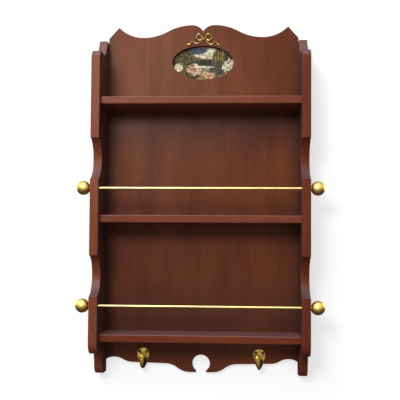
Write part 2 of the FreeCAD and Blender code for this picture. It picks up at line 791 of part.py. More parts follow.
def ribbon(points):
    """A strand of ribbon: round tubes along arcs through points, with a ball at every join and its end."""
    front = -size("back_thickness")
    rise = number(height(BOW))
    radius = size("ribbon_width") / 2
    places = [Vector(x, front, rise + z) for x, z in points]
    tubes = [Part.makeSphere(radius, place) for place in places[2::2]]
    for first in range(0, len(places) - 2, 2):
        arc = Part.Arc(*places[first:first + 3]).toShape()
        section = Part.Circle(places[first], arc.tangentAt(arc.FirstParameter), radius)
        tubes.append(Part.Wire([arc]).makePipe(Part.Face(Part.Wire([section.toShape()]))))
    return tubes


def bow():
    """Two loops and two waving tails of ribbon about a knot, flat behind, with two pins into the panel."""
    front = -size("back_thickness")
    rise = number(height(BOW))
    knot = Part.makeSphere(size("knot_width") / 2, Vector(0, front, rise))
    right = [tube for points in RIBBON_STRANDS for tube in ribbon(points)]
    left = [tube.mirror(Vector(0, 0, 0), Vector(1, 0, 0)) for tube in right]
    whole = knot.fuse(right + left)
    reach = size("oval_width")
    behind = Part.makeBox(2 * reach, reach, 2 * reach, Vector(-reach, front, rise - reach))
    whole = whole.cut(behind)
    pins = []
    for sign in SIDES.values():
        root = size("ribbon_width") / 4
        at = Vector(sign * size("bow_pin_reach"), front - root, rise + size("bow_pin_rise"))
        length = size("bow_pin_length") + root
        pins.append(Part.makeCylinder(size("bow_pin_diameter") / 2, length, at, Vector(0, 1, 0)))
    mount = doc.addObject("Part::Feature", "bow_ornament")
    mount.Shape = whole.fuse(pins)
    if len(mount.Shape.Solids) != 1:
        raise RuntimeError("the bow's strands don't all meet")
    nodes.append(mount)


# Hanger plates ----------------------------------------------------------------------------------------

def hanger_plate(name, sign):
    """A plate let into the rear edge of a side panel, with a keyway for the head of a wall screw."""
    body = new_body(f"{name}_hanger_plate")
    centre = hanger_centre(sign)
    shape = new_sketch(body, "XZ", "0", "plate", centre, "keyway_rise / 2")
    stadium(shape, "hanger_width", "hanger_length")
    pad(body, shape, "hanger_thickness")
    entry = new_sketch(body, "XZ", "0", "entry")
    circle(entry, centre, "0", "keyway_entry / 2")
    pocket(body, entry)
    slot = new_sketch(body, "XZ", "0", "slot", centre, "keyway_rise / 2")
    stadium(slot, "keyway_slot", "keyway_rise + keyway_slot")
    pocket(body, slot)
    screws = new_sketch(body, "XZ", "0", "screw_holes", centre, "keyway_rise / 2")
    for end in (-1, 1):
        circle(screws, "0", f"{end} * hanger_screw_spacing / 2", "hanger_screw_diameter / 2")
    drill(body, screws, "hanger_screw_diameter", "hanger_screw_head")


# Dowels and screws ------------------------------------------------------------------------------------

def dowels(label, places, diameter, outer_end, length):
    """Dowels across both joints with the side panels, as separate solids of one node."""
    body = new_body(label)
    for sign in SIDES.values():
        low_end = f"{outer_end} - {length}" if sign > 0 else f"-({outer_end})"
        shape = new_sketch(body, "YZ", low_end)
        for place in places:
            circle(shape, place[0], place[1], f"{diameter} / 2")
        pad(body, shape, length)


def screws(label, across, head_face, up, half_profile, direction, spacing, count):
    """Screws along Y: one turned from half_profile about its axis and repeated in a row."""
    body = new_body(label)
    half = new_sketch(body, "YZ", across, "half_profile", head_face, up)
    outline(half, half_profile)
    turned = turn(body, half)
    row = body.newObject("PartDesign::LinearPattern", "Row")
    row.Originals = [turned]
    row.Direction = (half, [direction])
    row.Occurrences = count
    bind(row, Length=spacing)
    body.Tip = row
    doc.recompute()


def countersunk(head, diameter, length):
    """Half profile of a countersunk screw whose head is flush with the wall side."""
    return [
        ("0", "0"),
        ("0", f"{head} / 2"),
        (f"({diameter} - {head}) / 2", f"{diameter} / 2"),
        (f"{diameter} - {length}", f"{diameter} / 2"),
        (f"-{length}", "0"),
    ]


def dome_head():
    """Half profile of a dome-head screw driven from the front."""
    crown = "((hook_screw_head ^ 2 / 4 + hook_screw_dome ^ 2) / (2 * hook_screw_dome))"
    return [
        ("hook_screw_length", "0"),
        ("hook_screw_length - hook_screw_diameter", "hook_screw_diameter / 2"),
        ("0", "hook_screw_diameter / 2"),
        ("0", "hook_screw_head / 2"),
        ("-hook_screw_dome", "0", "left", crown),
    ]


for side_name, side_sign in SIDES.items():
    side_panel(side_name, side_sign)
back_panel()
for shelf_name in SHELVES:
    shelf_board(shelf_name)
    dowels(f"{shelf_name}_shelf_dowels", shelf_dowel_places(shelf_name), "dowel_diameter",
           f"{INNER} + dowel_in_side - dowel_end_gap", "dowel_length")
    screws(f"{shelf_name}_shelf_screws", "-screw_spacing", "0", shelf_middle(shelf_name),
           countersunk("screw_head", "screw_diameter", "screw_length"), "N_Axis", "2 * screw_spacing", 3)
back_places = [("-back_thickness / 2", level) for level in back_dowel_heights()]
dowels("back_panel_dowels", back_places, "back_dowel_diameter",
       f"{INNER} + back_dowel_length / 2", "back_dowel_length")
picture()
for rail_name in ("upper", "lower"):
    rail(rail_name)
for side_name, side_sign in SIDES.items():
    hook(side_name, side_sign)
    hanger_plate(side_name, side_sign)
    screws(f"{side_name}_hanger_screws", hanger_centre(side_sign), "0",
           "keyway_rise / 2 - hanger_screw_spacing / 2",
           countersunk("hanger_screw_head", "hanger_screw_diameter", "hanger_screw_length"),
           "V_Axis", "hanger_screw_spacing", 2)
    screws(f"{side_name}_hook_screws", f"{side_sign} * hook_reach - hook_screw_spacing / 2",
           "-back_thickness - hook_plate_thickness", height("hook_foot_height + hook_screw_height"),
           dome_head(), "N_Axis", "hook_screw_spacing", 2)
bow()

# Write every piece ------------------------------------------------------------------------------------

doc.recompute()
for thing in doc.Objects:
    if "Invalid" in thing.State or "Error" in thing.State:
        raise RuntimeError(f"{thing.Label} did not build: {thing.State}")
os.makedirs("parts", exist_ok=True)
for node in nodes:
    if node.Shape.isNull() or not node.Shape.isValid():
        raise RuntimeError(f"{node.Label} has no valid shape")
for node in nodes:
    node.Shape.exportStep(f"parts/{node.Label}.step")
    print(node.Label, len(node.Shape.Solids), round(node.Shape.Volume, 1))
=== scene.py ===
"""Looks of the wall plate rack: stained and lacquered boards, brass gallery rails, cast hooks,
a gilt ribbon bow and an oval painted print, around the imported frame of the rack."""

import math

import bmesh
import bpy
import numpy as np
from mathutils import Matrix, Vector
from mathutils.bvhtree import BVHTree


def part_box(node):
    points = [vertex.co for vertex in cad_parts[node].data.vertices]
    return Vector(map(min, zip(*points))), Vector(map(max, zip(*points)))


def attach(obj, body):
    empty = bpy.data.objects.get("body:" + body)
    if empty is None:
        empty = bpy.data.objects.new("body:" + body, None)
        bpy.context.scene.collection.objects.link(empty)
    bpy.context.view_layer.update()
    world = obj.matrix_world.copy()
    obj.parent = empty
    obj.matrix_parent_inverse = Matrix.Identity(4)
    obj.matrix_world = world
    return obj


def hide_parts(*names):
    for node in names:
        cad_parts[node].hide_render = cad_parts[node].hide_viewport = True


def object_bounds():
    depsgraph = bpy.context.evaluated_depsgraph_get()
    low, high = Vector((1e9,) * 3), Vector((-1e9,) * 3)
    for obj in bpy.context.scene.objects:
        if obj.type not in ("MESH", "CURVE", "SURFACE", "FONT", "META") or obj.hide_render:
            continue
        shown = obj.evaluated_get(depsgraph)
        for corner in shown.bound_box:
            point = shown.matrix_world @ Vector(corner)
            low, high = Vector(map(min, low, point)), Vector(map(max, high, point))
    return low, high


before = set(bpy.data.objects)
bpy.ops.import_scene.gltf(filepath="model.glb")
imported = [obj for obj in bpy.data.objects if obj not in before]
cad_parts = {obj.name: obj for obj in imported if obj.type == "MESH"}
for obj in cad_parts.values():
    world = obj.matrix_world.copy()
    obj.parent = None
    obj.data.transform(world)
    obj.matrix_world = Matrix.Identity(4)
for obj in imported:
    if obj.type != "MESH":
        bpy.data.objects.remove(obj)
cad_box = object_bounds()

MM = 0.001
X, Y, Z = 0, 1, 2
STRAIGHT = (0.0, 0.0, 0.0)

# Places read from the frame, in metres
PANEL_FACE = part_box("back_panel")[0].y
PRINT_LOW, PRINT_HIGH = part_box("picture_print")
BOW_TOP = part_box("bow_ornament")[1].z
KNOT_TO_THE_RIGHT = 1.0 * MM
KNOT_BELOW_TOP = 17.4 * MM
KNOT = Vector((KNOT_TO_THE_RIGHT, PANEL_FACE, BOW_TOP - KNOT_BELOW_TOP))


# ---------------------------------------------------------------- shader helpers


class Value:
    """A node's output. Arithmetic on it adds Math nodes to its tree."""

    def __init__(self, nodes, socket):
        self.nodes = nodes
        self.socket = socket

    def maths(self, operation, *values):
        return self.nodes.node("Math", {"operation": operation}, *values)

    def __add__(self, other):
        return self.maths("ADD", self, other)

    __radd__ = __add__

    def __sub__(self, other):
        return self.maths("SUBTRACT", self, other)

    def __rsub__(self, other):
        return self.maths("SUBTRACT", other, self)

    def __mul__(self, other):
        return self.maths("MULTIPLY", self, other)

    __rmul__ = __mul__

    def __truediv__(self, other):
        return self.maths("DIVIDE", self, other)

    def __pow__(self, other):
        return self.maths("POWER", self, other)

    def between(self, low, high):
        """0 below low, 1 above high, smooth in between."""
        settings = {"interpolation_type": "SMOOTHSTEP"}
        return self.nodes.node("MapRange", settings, self, low, high, 0.0, 1.0)

    def output(self, name):
        """Another output of the same node."""
        return Value(self.nodes, self.socket.node.outputs[name])


class Nodes:
    """A shader node tree, filled from Python expressions."""

    def __init__(self, tree):
        self.tree = tree
        self.tree.nodes.clear()

    def node(self, kind, settings, *values, out=0, **named):
        """Adds a node: its settings first, then its sockets by order or by name."""
        made = self.tree.nodes.new("ShaderNode" + kind)
        for key, value in settings.items():
            setattr(made, key, value)
        for socket, value in zip([s for s in made.inputs if s.enabled], values):
            self.feed(socket, value)
        for key, value in named.items():
            self.feed(made.inputs[key.replace("_", " ")], value)
        return Value(self, [s for s in made.outputs if s.enabled][out])

    def feed(self, socket, value):
        if isinstance(value, Value):
            self.tree.links.new(value.socket, socket)
        else:
            socket.default_value = value

    def end(self, kind, shader):
        """Leads a shader to the tree's output, which is of the kind Material or World."""
        output = self.tree.nodes.new("ShaderNodeOutput" + kind)
        self.tree.links.new(shader.socket, output.inputs["Surface"])

    def part(self, where, axis):
        """One coordinate of a place or a direction."""
        return self.node("SeparateXYZ", {}, where, out=axis)

    def stretched(self, where, sizes, start=STRAIGHT):
        """A place with its coordinates scaled, for a pattern that is drawn out."""
        return self.node("Mapping", {}, where, start, STRAIGHT, sizes)

    def noise(self, where, scale, detail=2.0, rough=0.5):
        return self.node("TexNoise", {}, where, Scale=scale, Detail=detail, Roughness=rough)


class Finish(Nodes):
    """One material, made of procedural nodes."""

    def __init__(self, name):
        self.material = bpy.data.materials.new(name)
        self.material.use_nodes = True
        super().__init__(self.material.node_tree)

    def place(self, turn=STRAIGHT, shift=STRAIGHT):
        """The object's own coordinates, turned and shifted."""
        here = self.node("TexCoord", {}).output("Object")
        return self.node("Mapping", {}, here, shift, turn)

    def facing(self):
        """The direction that the surface faces."""
        return self.node("NewGeometry", {}).output("Normal")

    def attribute(self, name, output="Fac"):
        return self.node("Attribute", {"attribute_name": name}).output(output)

    def mix(self, mask, first, second):
        """Two colours mixed by a mask."""
        return self.node("Mix", {"data_type": "RGBA"}, mask, colour(first), colour(second))

    def surface(self, bump, bump_depth, **sockets):
        """The shader and the output. The bump height tilts the normal."""
        normal = self.node("Bump", {}, Strength=1.0, Distance=bump_depth, Height=bump)
        self.end("Material", self.node("BsdfPrincipled", {}, Normal=normal, **sockets))
        return self.material


def colour(value):
    """A plain colour gets its fourth number; a node's output passes through."""
    if isinstance(value, Value):
        return value
    return (*value, 1.0)


# ---------------------------------------------------------------- finishes

UPRIGHT = STRAIGHT
LENGTHWAYS = (0.0, math.radians(90), 0.0)

# The glued staves, and the heart of the log beside and behind each of them
STAVE_WIDTH = 72.4 * MM
STAVE_SEED = 820.0
STAVE_JOINT = (0.488, 0.499)
HEART_BESIDE, HEART_BEHIND = 150 * MM, 50 * MM
HEART_SWAY = 30 * MM
LOG_TAPER = 0.10
RING_TURNS = 900.0

# How far each pattern takes the wood towards its dark tone
SMUDGE_DEPTH, JOINT_DEPTH, LINE_DEPTH, STREAK_DEPTH, PORE_DEPTH = 0.30, 0.45, 0.34, 0.20, 0.30

CORNER_SHARP = 2 * MM
# The tone of the painted shade under and over the shelves and beside the side panels
SHADE_TONE = (0.026, 0.015, 0.013)
# Painted shade on the faces of the side panels that look into the bays
INNER_SHADE = 0.8
INNER_SHADE_TONE = (0.074, 0.040, 0.034)
# A painted sheen on the faces that look up: a painted reflection of the bright room above
SHEEN_SLOPES = (0.12, 0.75)
SHEEN_COVER = 0.5
SHEEN_TONE = (0.10, 0.066, 0.076)
SHELF_SHEEN = (0.22, 0.155, 0.155)
WORN_COVER = 0.35
WORN_TONE = (0.36, 0.12, 0.06)
LACQUER_TINT = (1.0, 0.86, 0.76, 1.0)


class Grain:
    """The patterns of a board of glued staves. The grain runs along Z, turned by turn, and shift
    gives each board its own part of the log."""

    def __init__(self, wood, turn, shift):
        self.wood = wood
        self.here = wood.place(turn, shift)
        self.drift = self.drawn_out(9, 1.8, 3.0)
        self.wander = self.drawn_out(14, 2.4, 2.0, (3.0, 1.0, 2.0))
        self.clouds = self.drawn_out(26, 9, 3.0, (1.0, 4.0, 2.0))
        self.smudges = self.drawn_out(17, 5, 2.0, (5.0, 2.0, 1.0)).between(0.52, 0.72)
        self.streaks = self.drawn_out(210, 6, 3.0)
        self.pores = self.drawn_out(1300, 70, 2.0).between(0.60, 0.72)

        across = wood.part(self.here, X)
        share = (across + (self.wander - 0.5) * MM) / STAVE_WIDTH
        stave = share.maths("FLOOR")
        self.joint = (share - stave - 0.5).maths("ABSOLUTE").between(*STAVE_JOINT)
        self.chance = wood.node("TexWhiteNoise", {"noise_dimensions": "1D"}, W=stave + STAVE_SEED)
        self.lines = self.growth_lines(across - (stave + 0.5) * STAVE_WIDTH)

    def drawn_out(self, size_across, size_along, detail, start=STRAIGHT):
        """Noise drawn out along the grain."""
        sizes = (size_across, size_across, size_along)
        return self.wood.noise(self.wood.stretched(self.here, sizes, start), 1.0, detail, 0.55)

    def growth_lines(self, from_stave_middle):
        """Rings about the heart of the log, which lies in another place for each stave."""
        sway = (self.drift - 0.5) * HEART_SWAY
        depth, along = self.wood.part(self.here, Y), self.wood.part(self.here, Z)
        beside = from_stave_middle + (self.chance - 0.5) * HEART_BESIDE + (self.wander - 0.5) * HEART_SWAY
        behind = depth + HEART_BEHIND + self.chance * HEART_SWAY + along * LOG_TAPER + sway
        rings = (beside * beside + behind * behind) ** 0.5
        return ((rings * RING_TURNS + (self.drift - 0.5) * 5.0).maths("SINE") * 0.5 + 0.5) ** 1.5

    def stained(self, tones, figure):
        """The colour of the wood: tones are its dark lines, its main tone and its warm bands."""
        deep, main, warm = tones
        light = self.drift * 0.45 + self.clouds * 0.25 + self.chance * 0.3
        tone = self.wood.mix(light.between(0.32, 0.68) * figure, main, warm)
        for mask in (
            self.smudges * SMUDGE_DEPTH * figure,
            self.joint * JOINT_DEPTH,
            self.lines * self.wander.between(0.3, 0.7) * LINE_DEPTH * figure,
            self.streaks.between(0.42, 0.75) * STREAK_DEPTH,
            self.pores * PORE_DEPTH,
        ):
            tone = self.wood.mix(mask, tone, deep)
        return tone


def painted_shade_front(wood, tone, corners, sides):
    """Paints shade onto the front of a board. Each corner is a height with how far up (or down) from it
    the painted shade reaches; each side is a place across the board and the place where it is darkest."""
    in_front = 1 - wood.part(wood.facing(), Y).between(-0.4, 0.4)
    here = wood.place()
    height, across = wood.part(here, Z), wood.part(here, X)
    # Painted shade under and over the shelves, on front faces only
    for level, reach, strength in corners:
        under, over = (CORNER_SHARP, reach) if reach > 0 else (-reach, CORNER_SHARP)
        near = height.between(level - under, level) * (1 - height.between(level, level + over))
        tone = wood.mix(near * strength * in_front, tone, SHADE_TONE)
    # Painted shade beside the side panels, on front faces only
    for start, end, strength in sides:
        away = across.between(start, end) if end > start else 1 - across.between(end, start)
        tone = wood.mix(away * strength * in_front, tone, SHADE_TONE)
    return tone


def lacquered_mahogany(name, turn, shift, tones, figure=1.0, sheen=SHEEN_TONE, corners=(), sides=()):
    """Red mahogany stain under satin lacquer. figure is how strong the bands and lines are, and sheen is
    the tone of a painted sheen, a painted reflection of the bright room, on the faces that look up."""
    wood = Finish(name)
    grain = Grain(wood, turn, shift)
    tone = painted_shade_front(wood, grain.stained(tones, figure), corners, sides)
    # Painted shade on the inner faces of the side panels
    tone = wood.mix(wood.attribute("inner_face") * INNER_SHADE, tone, INNER_SHADE_TONE)
    # Painted sheen on the faces that look up, a painted reflection of the room above
    upward = wood.part(wood.facing(), Z).between(*SHEEN_SLOPES)
    tone = wood.mix(upward * (0.7 + grain.clouds * 0.6) * SHEEN_COVER, tone, sheen)
    worn = wood.attribute("worn_edge") * wood.noise(grain.here, 60.0, 3.0).between(0.35, 0.7)
    tone = wood.mix(worn * WORN_COVER, tone, WORN_TONE)
    return wood.surface(
        bump=wood.noise(grain.here, 420.0, 1.0) * 0.25 - grain.pores * 0.45 + grain.streaks * 0.2,
        bump_depth=0.05 * MM,
        Base_Color=tone,
        Roughness=0.38 + (grain.wander - 0.5) * 0.10 + grain.pores * 0.10,
        Coat_Weight=upward * 0.5,
        Coat_Roughness=0.32,
        Specular_IOR_Level=0.11,
        Specular_Tint=LACQUER_TINT,
    )


def bare_wood(name, turn, pale, dark, speckle):
    """Unfinished wood or board: dowels, or the pressed board behind the print."""
    wood = Finish(name)
    here = wood.place(turn)
    fibres = wood.noise(wood.stretched(here, speckle), 1.0, 3.0, 0.6)
    clouds = wood.noise(here, 30.0, 2.0)
    return wood.surface(
        bump=fibres,
        bump_depth=0.1 * MM,
        Base_Color=wood.mix(fibres.between(0.35, 0.7) * 0.6 + clouds * 0.3, pale, dark),
        Roughness=0.72 + fibres * 0.12,
    )


TARNISH_BLUR = 0.25
BRASS_TINT = (1.0, 0.80, 0.45, 1.0)


def satin_brass(name, bright, dull, tarnish, tarnish_from, rough, brush=(300, 300, 300)):
    """Brass with a soft shine, a little uneven, and tarnish in spots."""
    brass = Finish(name)
    here = brass.place()
    clouds = brass.noise(here, 45.0, 3.0)
    spots = brass.noise(here, 260.0, 3.0, 0.6)
    lines = brass.noise(brass.stretched(here, brush), 1.0, 2.0)
    stained = (clouds * 0.6 + spots * 0.4).between(tarnish_from, tarnish_from + TARNISH_BLUR)
    tone = brass.mix(clouds.between(0.3, 0.7), bright, dull)
    return brass.surface(
        bump=lines + spots * 0.4,
        bump_depth=0.002 * MM,
        Base_Color=brass.mix(stained * 0.6, tone, tarnish),
        Roughness=rough + stained * 0.14 + (lines - 0.5) * 0.06,
        Metallic=1.0,
        Specular_Tint=BRASS_TINT,
    )


def aged_casting(name, bright, patina_and_shade_tone, rough, proud, deep):
    """Cast metal, bright where less of its view is blocked than proud, dark where more is than deep. The
    dark is patina in its hollows and painted shade where the back panel and its own parts would shade it.
    """
    brass = Finish(name)
    here = brass.place()
    clouds = brass.noise(here, 120.0, 3.0)
    grit = brass.noise(here, 900.0, 2.0, 0.6)
    # Patina in the hollows, and painted shade near the panel and under proud parts
    dark = (brass.attribute("hollow") + (clouds - 0.5) * 0.14).between(proud, deep)
    return brass.surface(
        bump=grit * 0.5 + clouds,
        bump_depth=0.06 * MM,
        Base_Color=brass.mix(dark, bright, patina_and_shade_tone),
        Roughness=rough + dark * 0.22 + (grit - 0.5) * 0.08,
        Metallic=1.0 - dark * 0.7,
    )


ZINC_PALE, ZINC_GREY = (0.62, 0.60, 0.56), (0.42, 0.41, 0.38)


def zinc_steel(name):
    """Zinc-plated steel, faintly mottled."""
    steel = Finish(name)
    here = steel.place()
    clouds = steel.noise(here, 140.0, 4.0, 0.65)
    return steel.surface(
        bump=steel.noise(steel.stretched(here, (200, 200, 2400)), 1.0),
        bump_depth=0.02 * MM,
        Base_Color=steel.mix(clouds.between(0.35, 0.65), ZINC_PALE, ZINC_GREY),
        Roughness=0.32 + clouds * 0.16,
        Metallic=1.0,
    )


WEAVE_TURNS = 9000.0
FLECK_TONE = (0.05, 0.045, 0.03)


def painted_print(name):
    """The varnished print: its colours are the mesh's own attribute, over a fine canvas weave."""
    paint = Finish(name)
    here = paint.place()
    weave_x = (paint.part(here, X) * WEAVE_TURNS).maths("SINE")
    weave_z = (paint.part(here, Z) * WEAVE_TURNS).maths("SINE")
    flecks = paint.noise(here, 1300.0, 2.0)
    picture = paint.attribute("paint", "Color")
    return paint.surface(
        bump=weave_x * weave_z * 0.15 + paint.attribute("brush"),
        bump_depth=0.12 * MM,
        Base_Color=paint.mix(flecks.between(0.4, 0.8) * 0.16, picture, FLECK_TONE),
        Roughness=0.38 + flecks * 0.12,
        Specular_IOR_Level=0.1,
    )


# The deep, main and warm tones of each board
LEFT_TONES = ((0.070, 0.014, 0.007), (0.262, 0.066, 0.031), (0.320, 0.088, 0.040))
# The right side panel's tones are darker than the left's: painted shade, as the light falls from the left
RIGHT_SHADED_TONES = ((0.055, 0.010, 0.005), (0.176, 0.032, 0.011), (0.225, 0.046, 0.016))
BACK_TONES = ((0.045, 0.010, 0.005), (0.150, 0.033, 0.012), (0.290, 0.077, 0.027))
SHELF_TONES = ((0.075, 0.015, 0.008), (0.238, 0.060, 0.029), (0.295, 0.080, 0.038))
LOW_SHELF_TONES = ((0.070, 0.013, 0.006), (0.212, 0.043, 0.015), (0.262, 0.058, 0.020))

LEFT_SIDE_WOOD = lacquered_mahogany("left_side_mahogany", UPRIGHT, (0.31, 0.02, 0.4), LEFT_TONES)
RIGHT_SIDE_WOOD = lacquered_mahogany("right_side_mahogany", UPRIGHT, (-0.17, 0.05, 1.3), RIGHT_SHADED_TONES)

# Painted shade on the front of the back panel, under and over the shelves and beside the side panels:
# a height, how far up (or down) from it and how much, and a place across the panel, the place where it is
# darkest and how much
BACK_SHADE_CORNERS = (
    (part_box("middle_shelf")[1].z, 60 * MM, 0.2),
    (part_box("bottom_shelf")[1].z, 200 * MM, 0.5),
    (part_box("top_shelf")[0].z, -110 * MM, 0.5),
)
BACK_SHADE_SIDES = ((-200 * MM, -230 * MM, 0.5), (205 * MM, 230 * MM, 0.3))
BACK_WOOD = lacquered_mahogany(
    "back_mahogany_veneer",
    UPRIGHT,
    (0.0448, 0.0, 0.75),
    BACK_TONES,
    corners=BACK_SHADE_CORNERS,
    sides=BACK_SHADE_SIDES,
)

# Each shelf's part of the log and its tones
SHELF_BOARDS = {
    "top_shelf": ((0.05, 0.04, 0.3), SHELF_TONES),
    "middle_shelf": ((-0.21, 0.09, 0.9), SHELF_TONES),
    "bottom_shelf": ((-0.52, 0.02, 1.7), LOW_SHELF_TONES),
}
SHELF_FIGURE = 0.6
SHELF_WOODS = {
    shelf: lacquered_mahogany(shelf + "_mahogany", LENGTHWAYS, shift, tones, SHELF_FIGURE, SHELF_SHEEN)
    for shelf, (shift, tones) in SHELF_BOARDS.items()
}

DOWEL_WOOD = bare_wood(
    "dowel_beech", LENGTHWAYS, pale=(0.62, 0.43, 0.26), dark=(0.45, 0.28, 0.15), speckle=(500, 500, 30)
)
BACKING_BOARD = bare_wood(
    "pressed_board", UPRIGHT, pale=(0.30, 0.19, 0.10), dark=(0.16, 0.09, 0.05), speckle=(700, 700, 700)
)
RAIL_BRASS = satin_brass(
    "rail_brass",
    bright=(0.84, 0.63, 0.27),
    dull=(0.74, 0.54, 0.20),
    tarnish=(0.38, 0.24, 0.07),
    tarnish_from=0.60,
    rough=0.36,
    brush=(600, 60, 60),
)
FINIAL_BRASS = satin_brass(
    "finial_brass",
    bright=(1.0, 0.67, 0.19),
    dull=(0.96, 0.59, 0.15),
    tarnish=(0.55, 0.31, 0.07),
    tarnish_from=0.60,
    rough=0.38,
)
HOOK_BRASS = aged_casting(
    "hook_antique_brass",
    bright=(0.98, 0.62, 0.12),
    patina_and_shade_tone=(0.018, 0.008, 0.002),
    rough=0.30,
    proud=0.0,
    deep=0.16,
)
HOOK_SCREW_BRASS = satin_brass(
    "hook_screw_brass",
    bright=(0.42, 0.28, 0.11),
    dull=(0.24, 0.15, 0.05),
    tarnish=(0.06, 0.03, 0.01),
    tarnish_from=0.40,
    rough=0.36,
)
BOW_GILT = aged_casting(
    "bow_gilt",
    bright=(0.36, 0.23, 0.055),
    patina_and_shade_tone=(0.008, 0.004, 0.002),
    rough=0.32,
    proud=-0.03,
    deep=0.18,
)
SCREW_STEEL = zinc_steel("screw_zinc")
HANGER_STEEL = zinc_steel("hanger_zinc")
PRINT_PAINT = painted_print("print_paint")


# ---------------------------------------------------------------- meshes

WELD_REACH = 0.004 * MM
FLAT_ANGLE = math.radians(0.4)
CHAMFER_SLOPES = (0.25, 0.96)
BOARD_CREASE = math.radians(60)


def mesh_object(name, mesh, finish):
    """A new object in the scene, with one finish all over."""
    made = bpy.data.objects.new(name, mesh)
    bpy.context.scene.collection.objects.link(made)
    mesh.materials.clear()
    mesh.materials.append(finish)
    return made


def dress(node, finish):
    """A frame node keeps its shape and gets its finish."""
    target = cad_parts[node]
    for slot in target.material_slots:
        slot.material = finish


def applied(source, name, finish):
    """The evaluated mesh of source as a plain object at the origin; source is removed."""
    graph = bpy.context.evaluated_depsgraph_get()
    mesh = bpy.data.meshes.new_from_object(source.evaluated_get(graph), depsgraph=graph)
    mesh.name = name
    bpy.data.objects.remove(source)
    return mesh_object(name, mesh, finish)


def merged_copy(node):
    """A frame node's mesh with its loose triangles joined into whole faces."""
    form = bmesh.new()
    form.from_mesh(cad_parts[node].data)
    bmesh.ops.remove_doubles(form, verts=form.verts, dist=WELD_REACH)
    bmesh.ops.dissolve_limit(form, angle_limit=FLAT_ANGLE, verts=form.verts, edges=form.edges)
    return form


def made_mesh(form, name):
    """Ends a form under construction as a mesh."""
    mesh = bpy.data.meshes.new(name)
    form.to_mesh(mesh)
    form.free()
    return mesh


def eased_board(node, finish, thickness):
    """A board whose chamfers shade as eased edges and carry the worn_edge attribute.
    thickness is the axis across the board: its chamfers lie between that axis and the others.
    The faces of a side panel that look into the bays carry the inner_face attribute."""
    form = merged_copy(node)
    worn = form.faces.layers.float.new("worn_edge")
    inner = form.faces.layers.float.new("inner_face")
    flattest, steepest = CHAMFER_SLOPES
    for face in form.faces:
        face.smooth = True
        face[worn] = 1.0 if flattest < abs(face.normal[thickness]) < steepest else 0.0
        looks_inwards = face.normal.x * face.calc_center_median().x < 0
        face[inner] = 1.0 if thickness == X and looks_inwards else 0.0
    mesh = made_mesh(form, node + "_board")
    mesh.set_sharp_from_angle(angle=BOARD_CREASE)
    board = mesh_object(node + "_raw", mesh, finish)
    even = board.modifiers.new("even_normals", "WEIGHTED_NORMAL")
    even.keep_sharp = True
    even.weight = 100
    board = applied(board, node + "_board", finish)
    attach(board, "carcass")
    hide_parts(node)


# ---------------------------------------------------------------- the print

CANVAS_STEP = 0.8 * MM
PAINT_SEED = 41
DAB_EDGE = 2.2
BRUSH_RIDGES = 2.4
CARD_EDGE = (0.55, 0.50, 0.40, 1.0)

HAZE_TONES = ((0.12, 0.10, 0.035), (0.19, 0.14, 0.045), (0.27, 0.19, 0.06), (0.09, 0.09, 0.05))
CLOUD_TONES = ((0.75, 0.68, 0.47), (0.98, 0.90, 0.62), (0.50, 0.42, 0.27))
BLUE_TONES = ((0.04, 0.06, 0.11), (0.07, 0.10, 0.14))
WOOD_TONES = ((0.008, 0.012, 0.007), (0.014, 0.018, 0.008), (0.022, 0.024, 0.009), (0.010, 0.015, 0.016))
LEAF_TONES = ((0.08, 0.066, 0.010), (0.15, 0.105, 0.016), (0.04, 0.045, 0.010), (0.24, 0.165, 0.03))
MEADOW_TONES = ((0.24, 0.14, 0.03), (0.33, 0.21, 0.05), (0.15, 0.09, 0.02), (0.46, 0.33, 0.11))
WATER_TONES = ((0.20, 0.22, 0.19), (0.08, 0.12, 0.12), (0.42, 0.42, 0.34))
REED_TONES = ((0.020, 0.032, 0.030), (0.035, 0.050, 0.042), (0.010, 0.014, 0.012), (0.12, 0.12, 0.05))
BLOOM_TONES = ((0.74, 0.56, 0.36), (0.50, 0.15, 0.09), (0.84, 0.76, 0.50), (0.28, 0.05, 0.04))
SHADE_TONES = ((0.008, 0.007, 0.004), (0.016, 0.010, 0.005), (0.008, 0.011, 0.009))


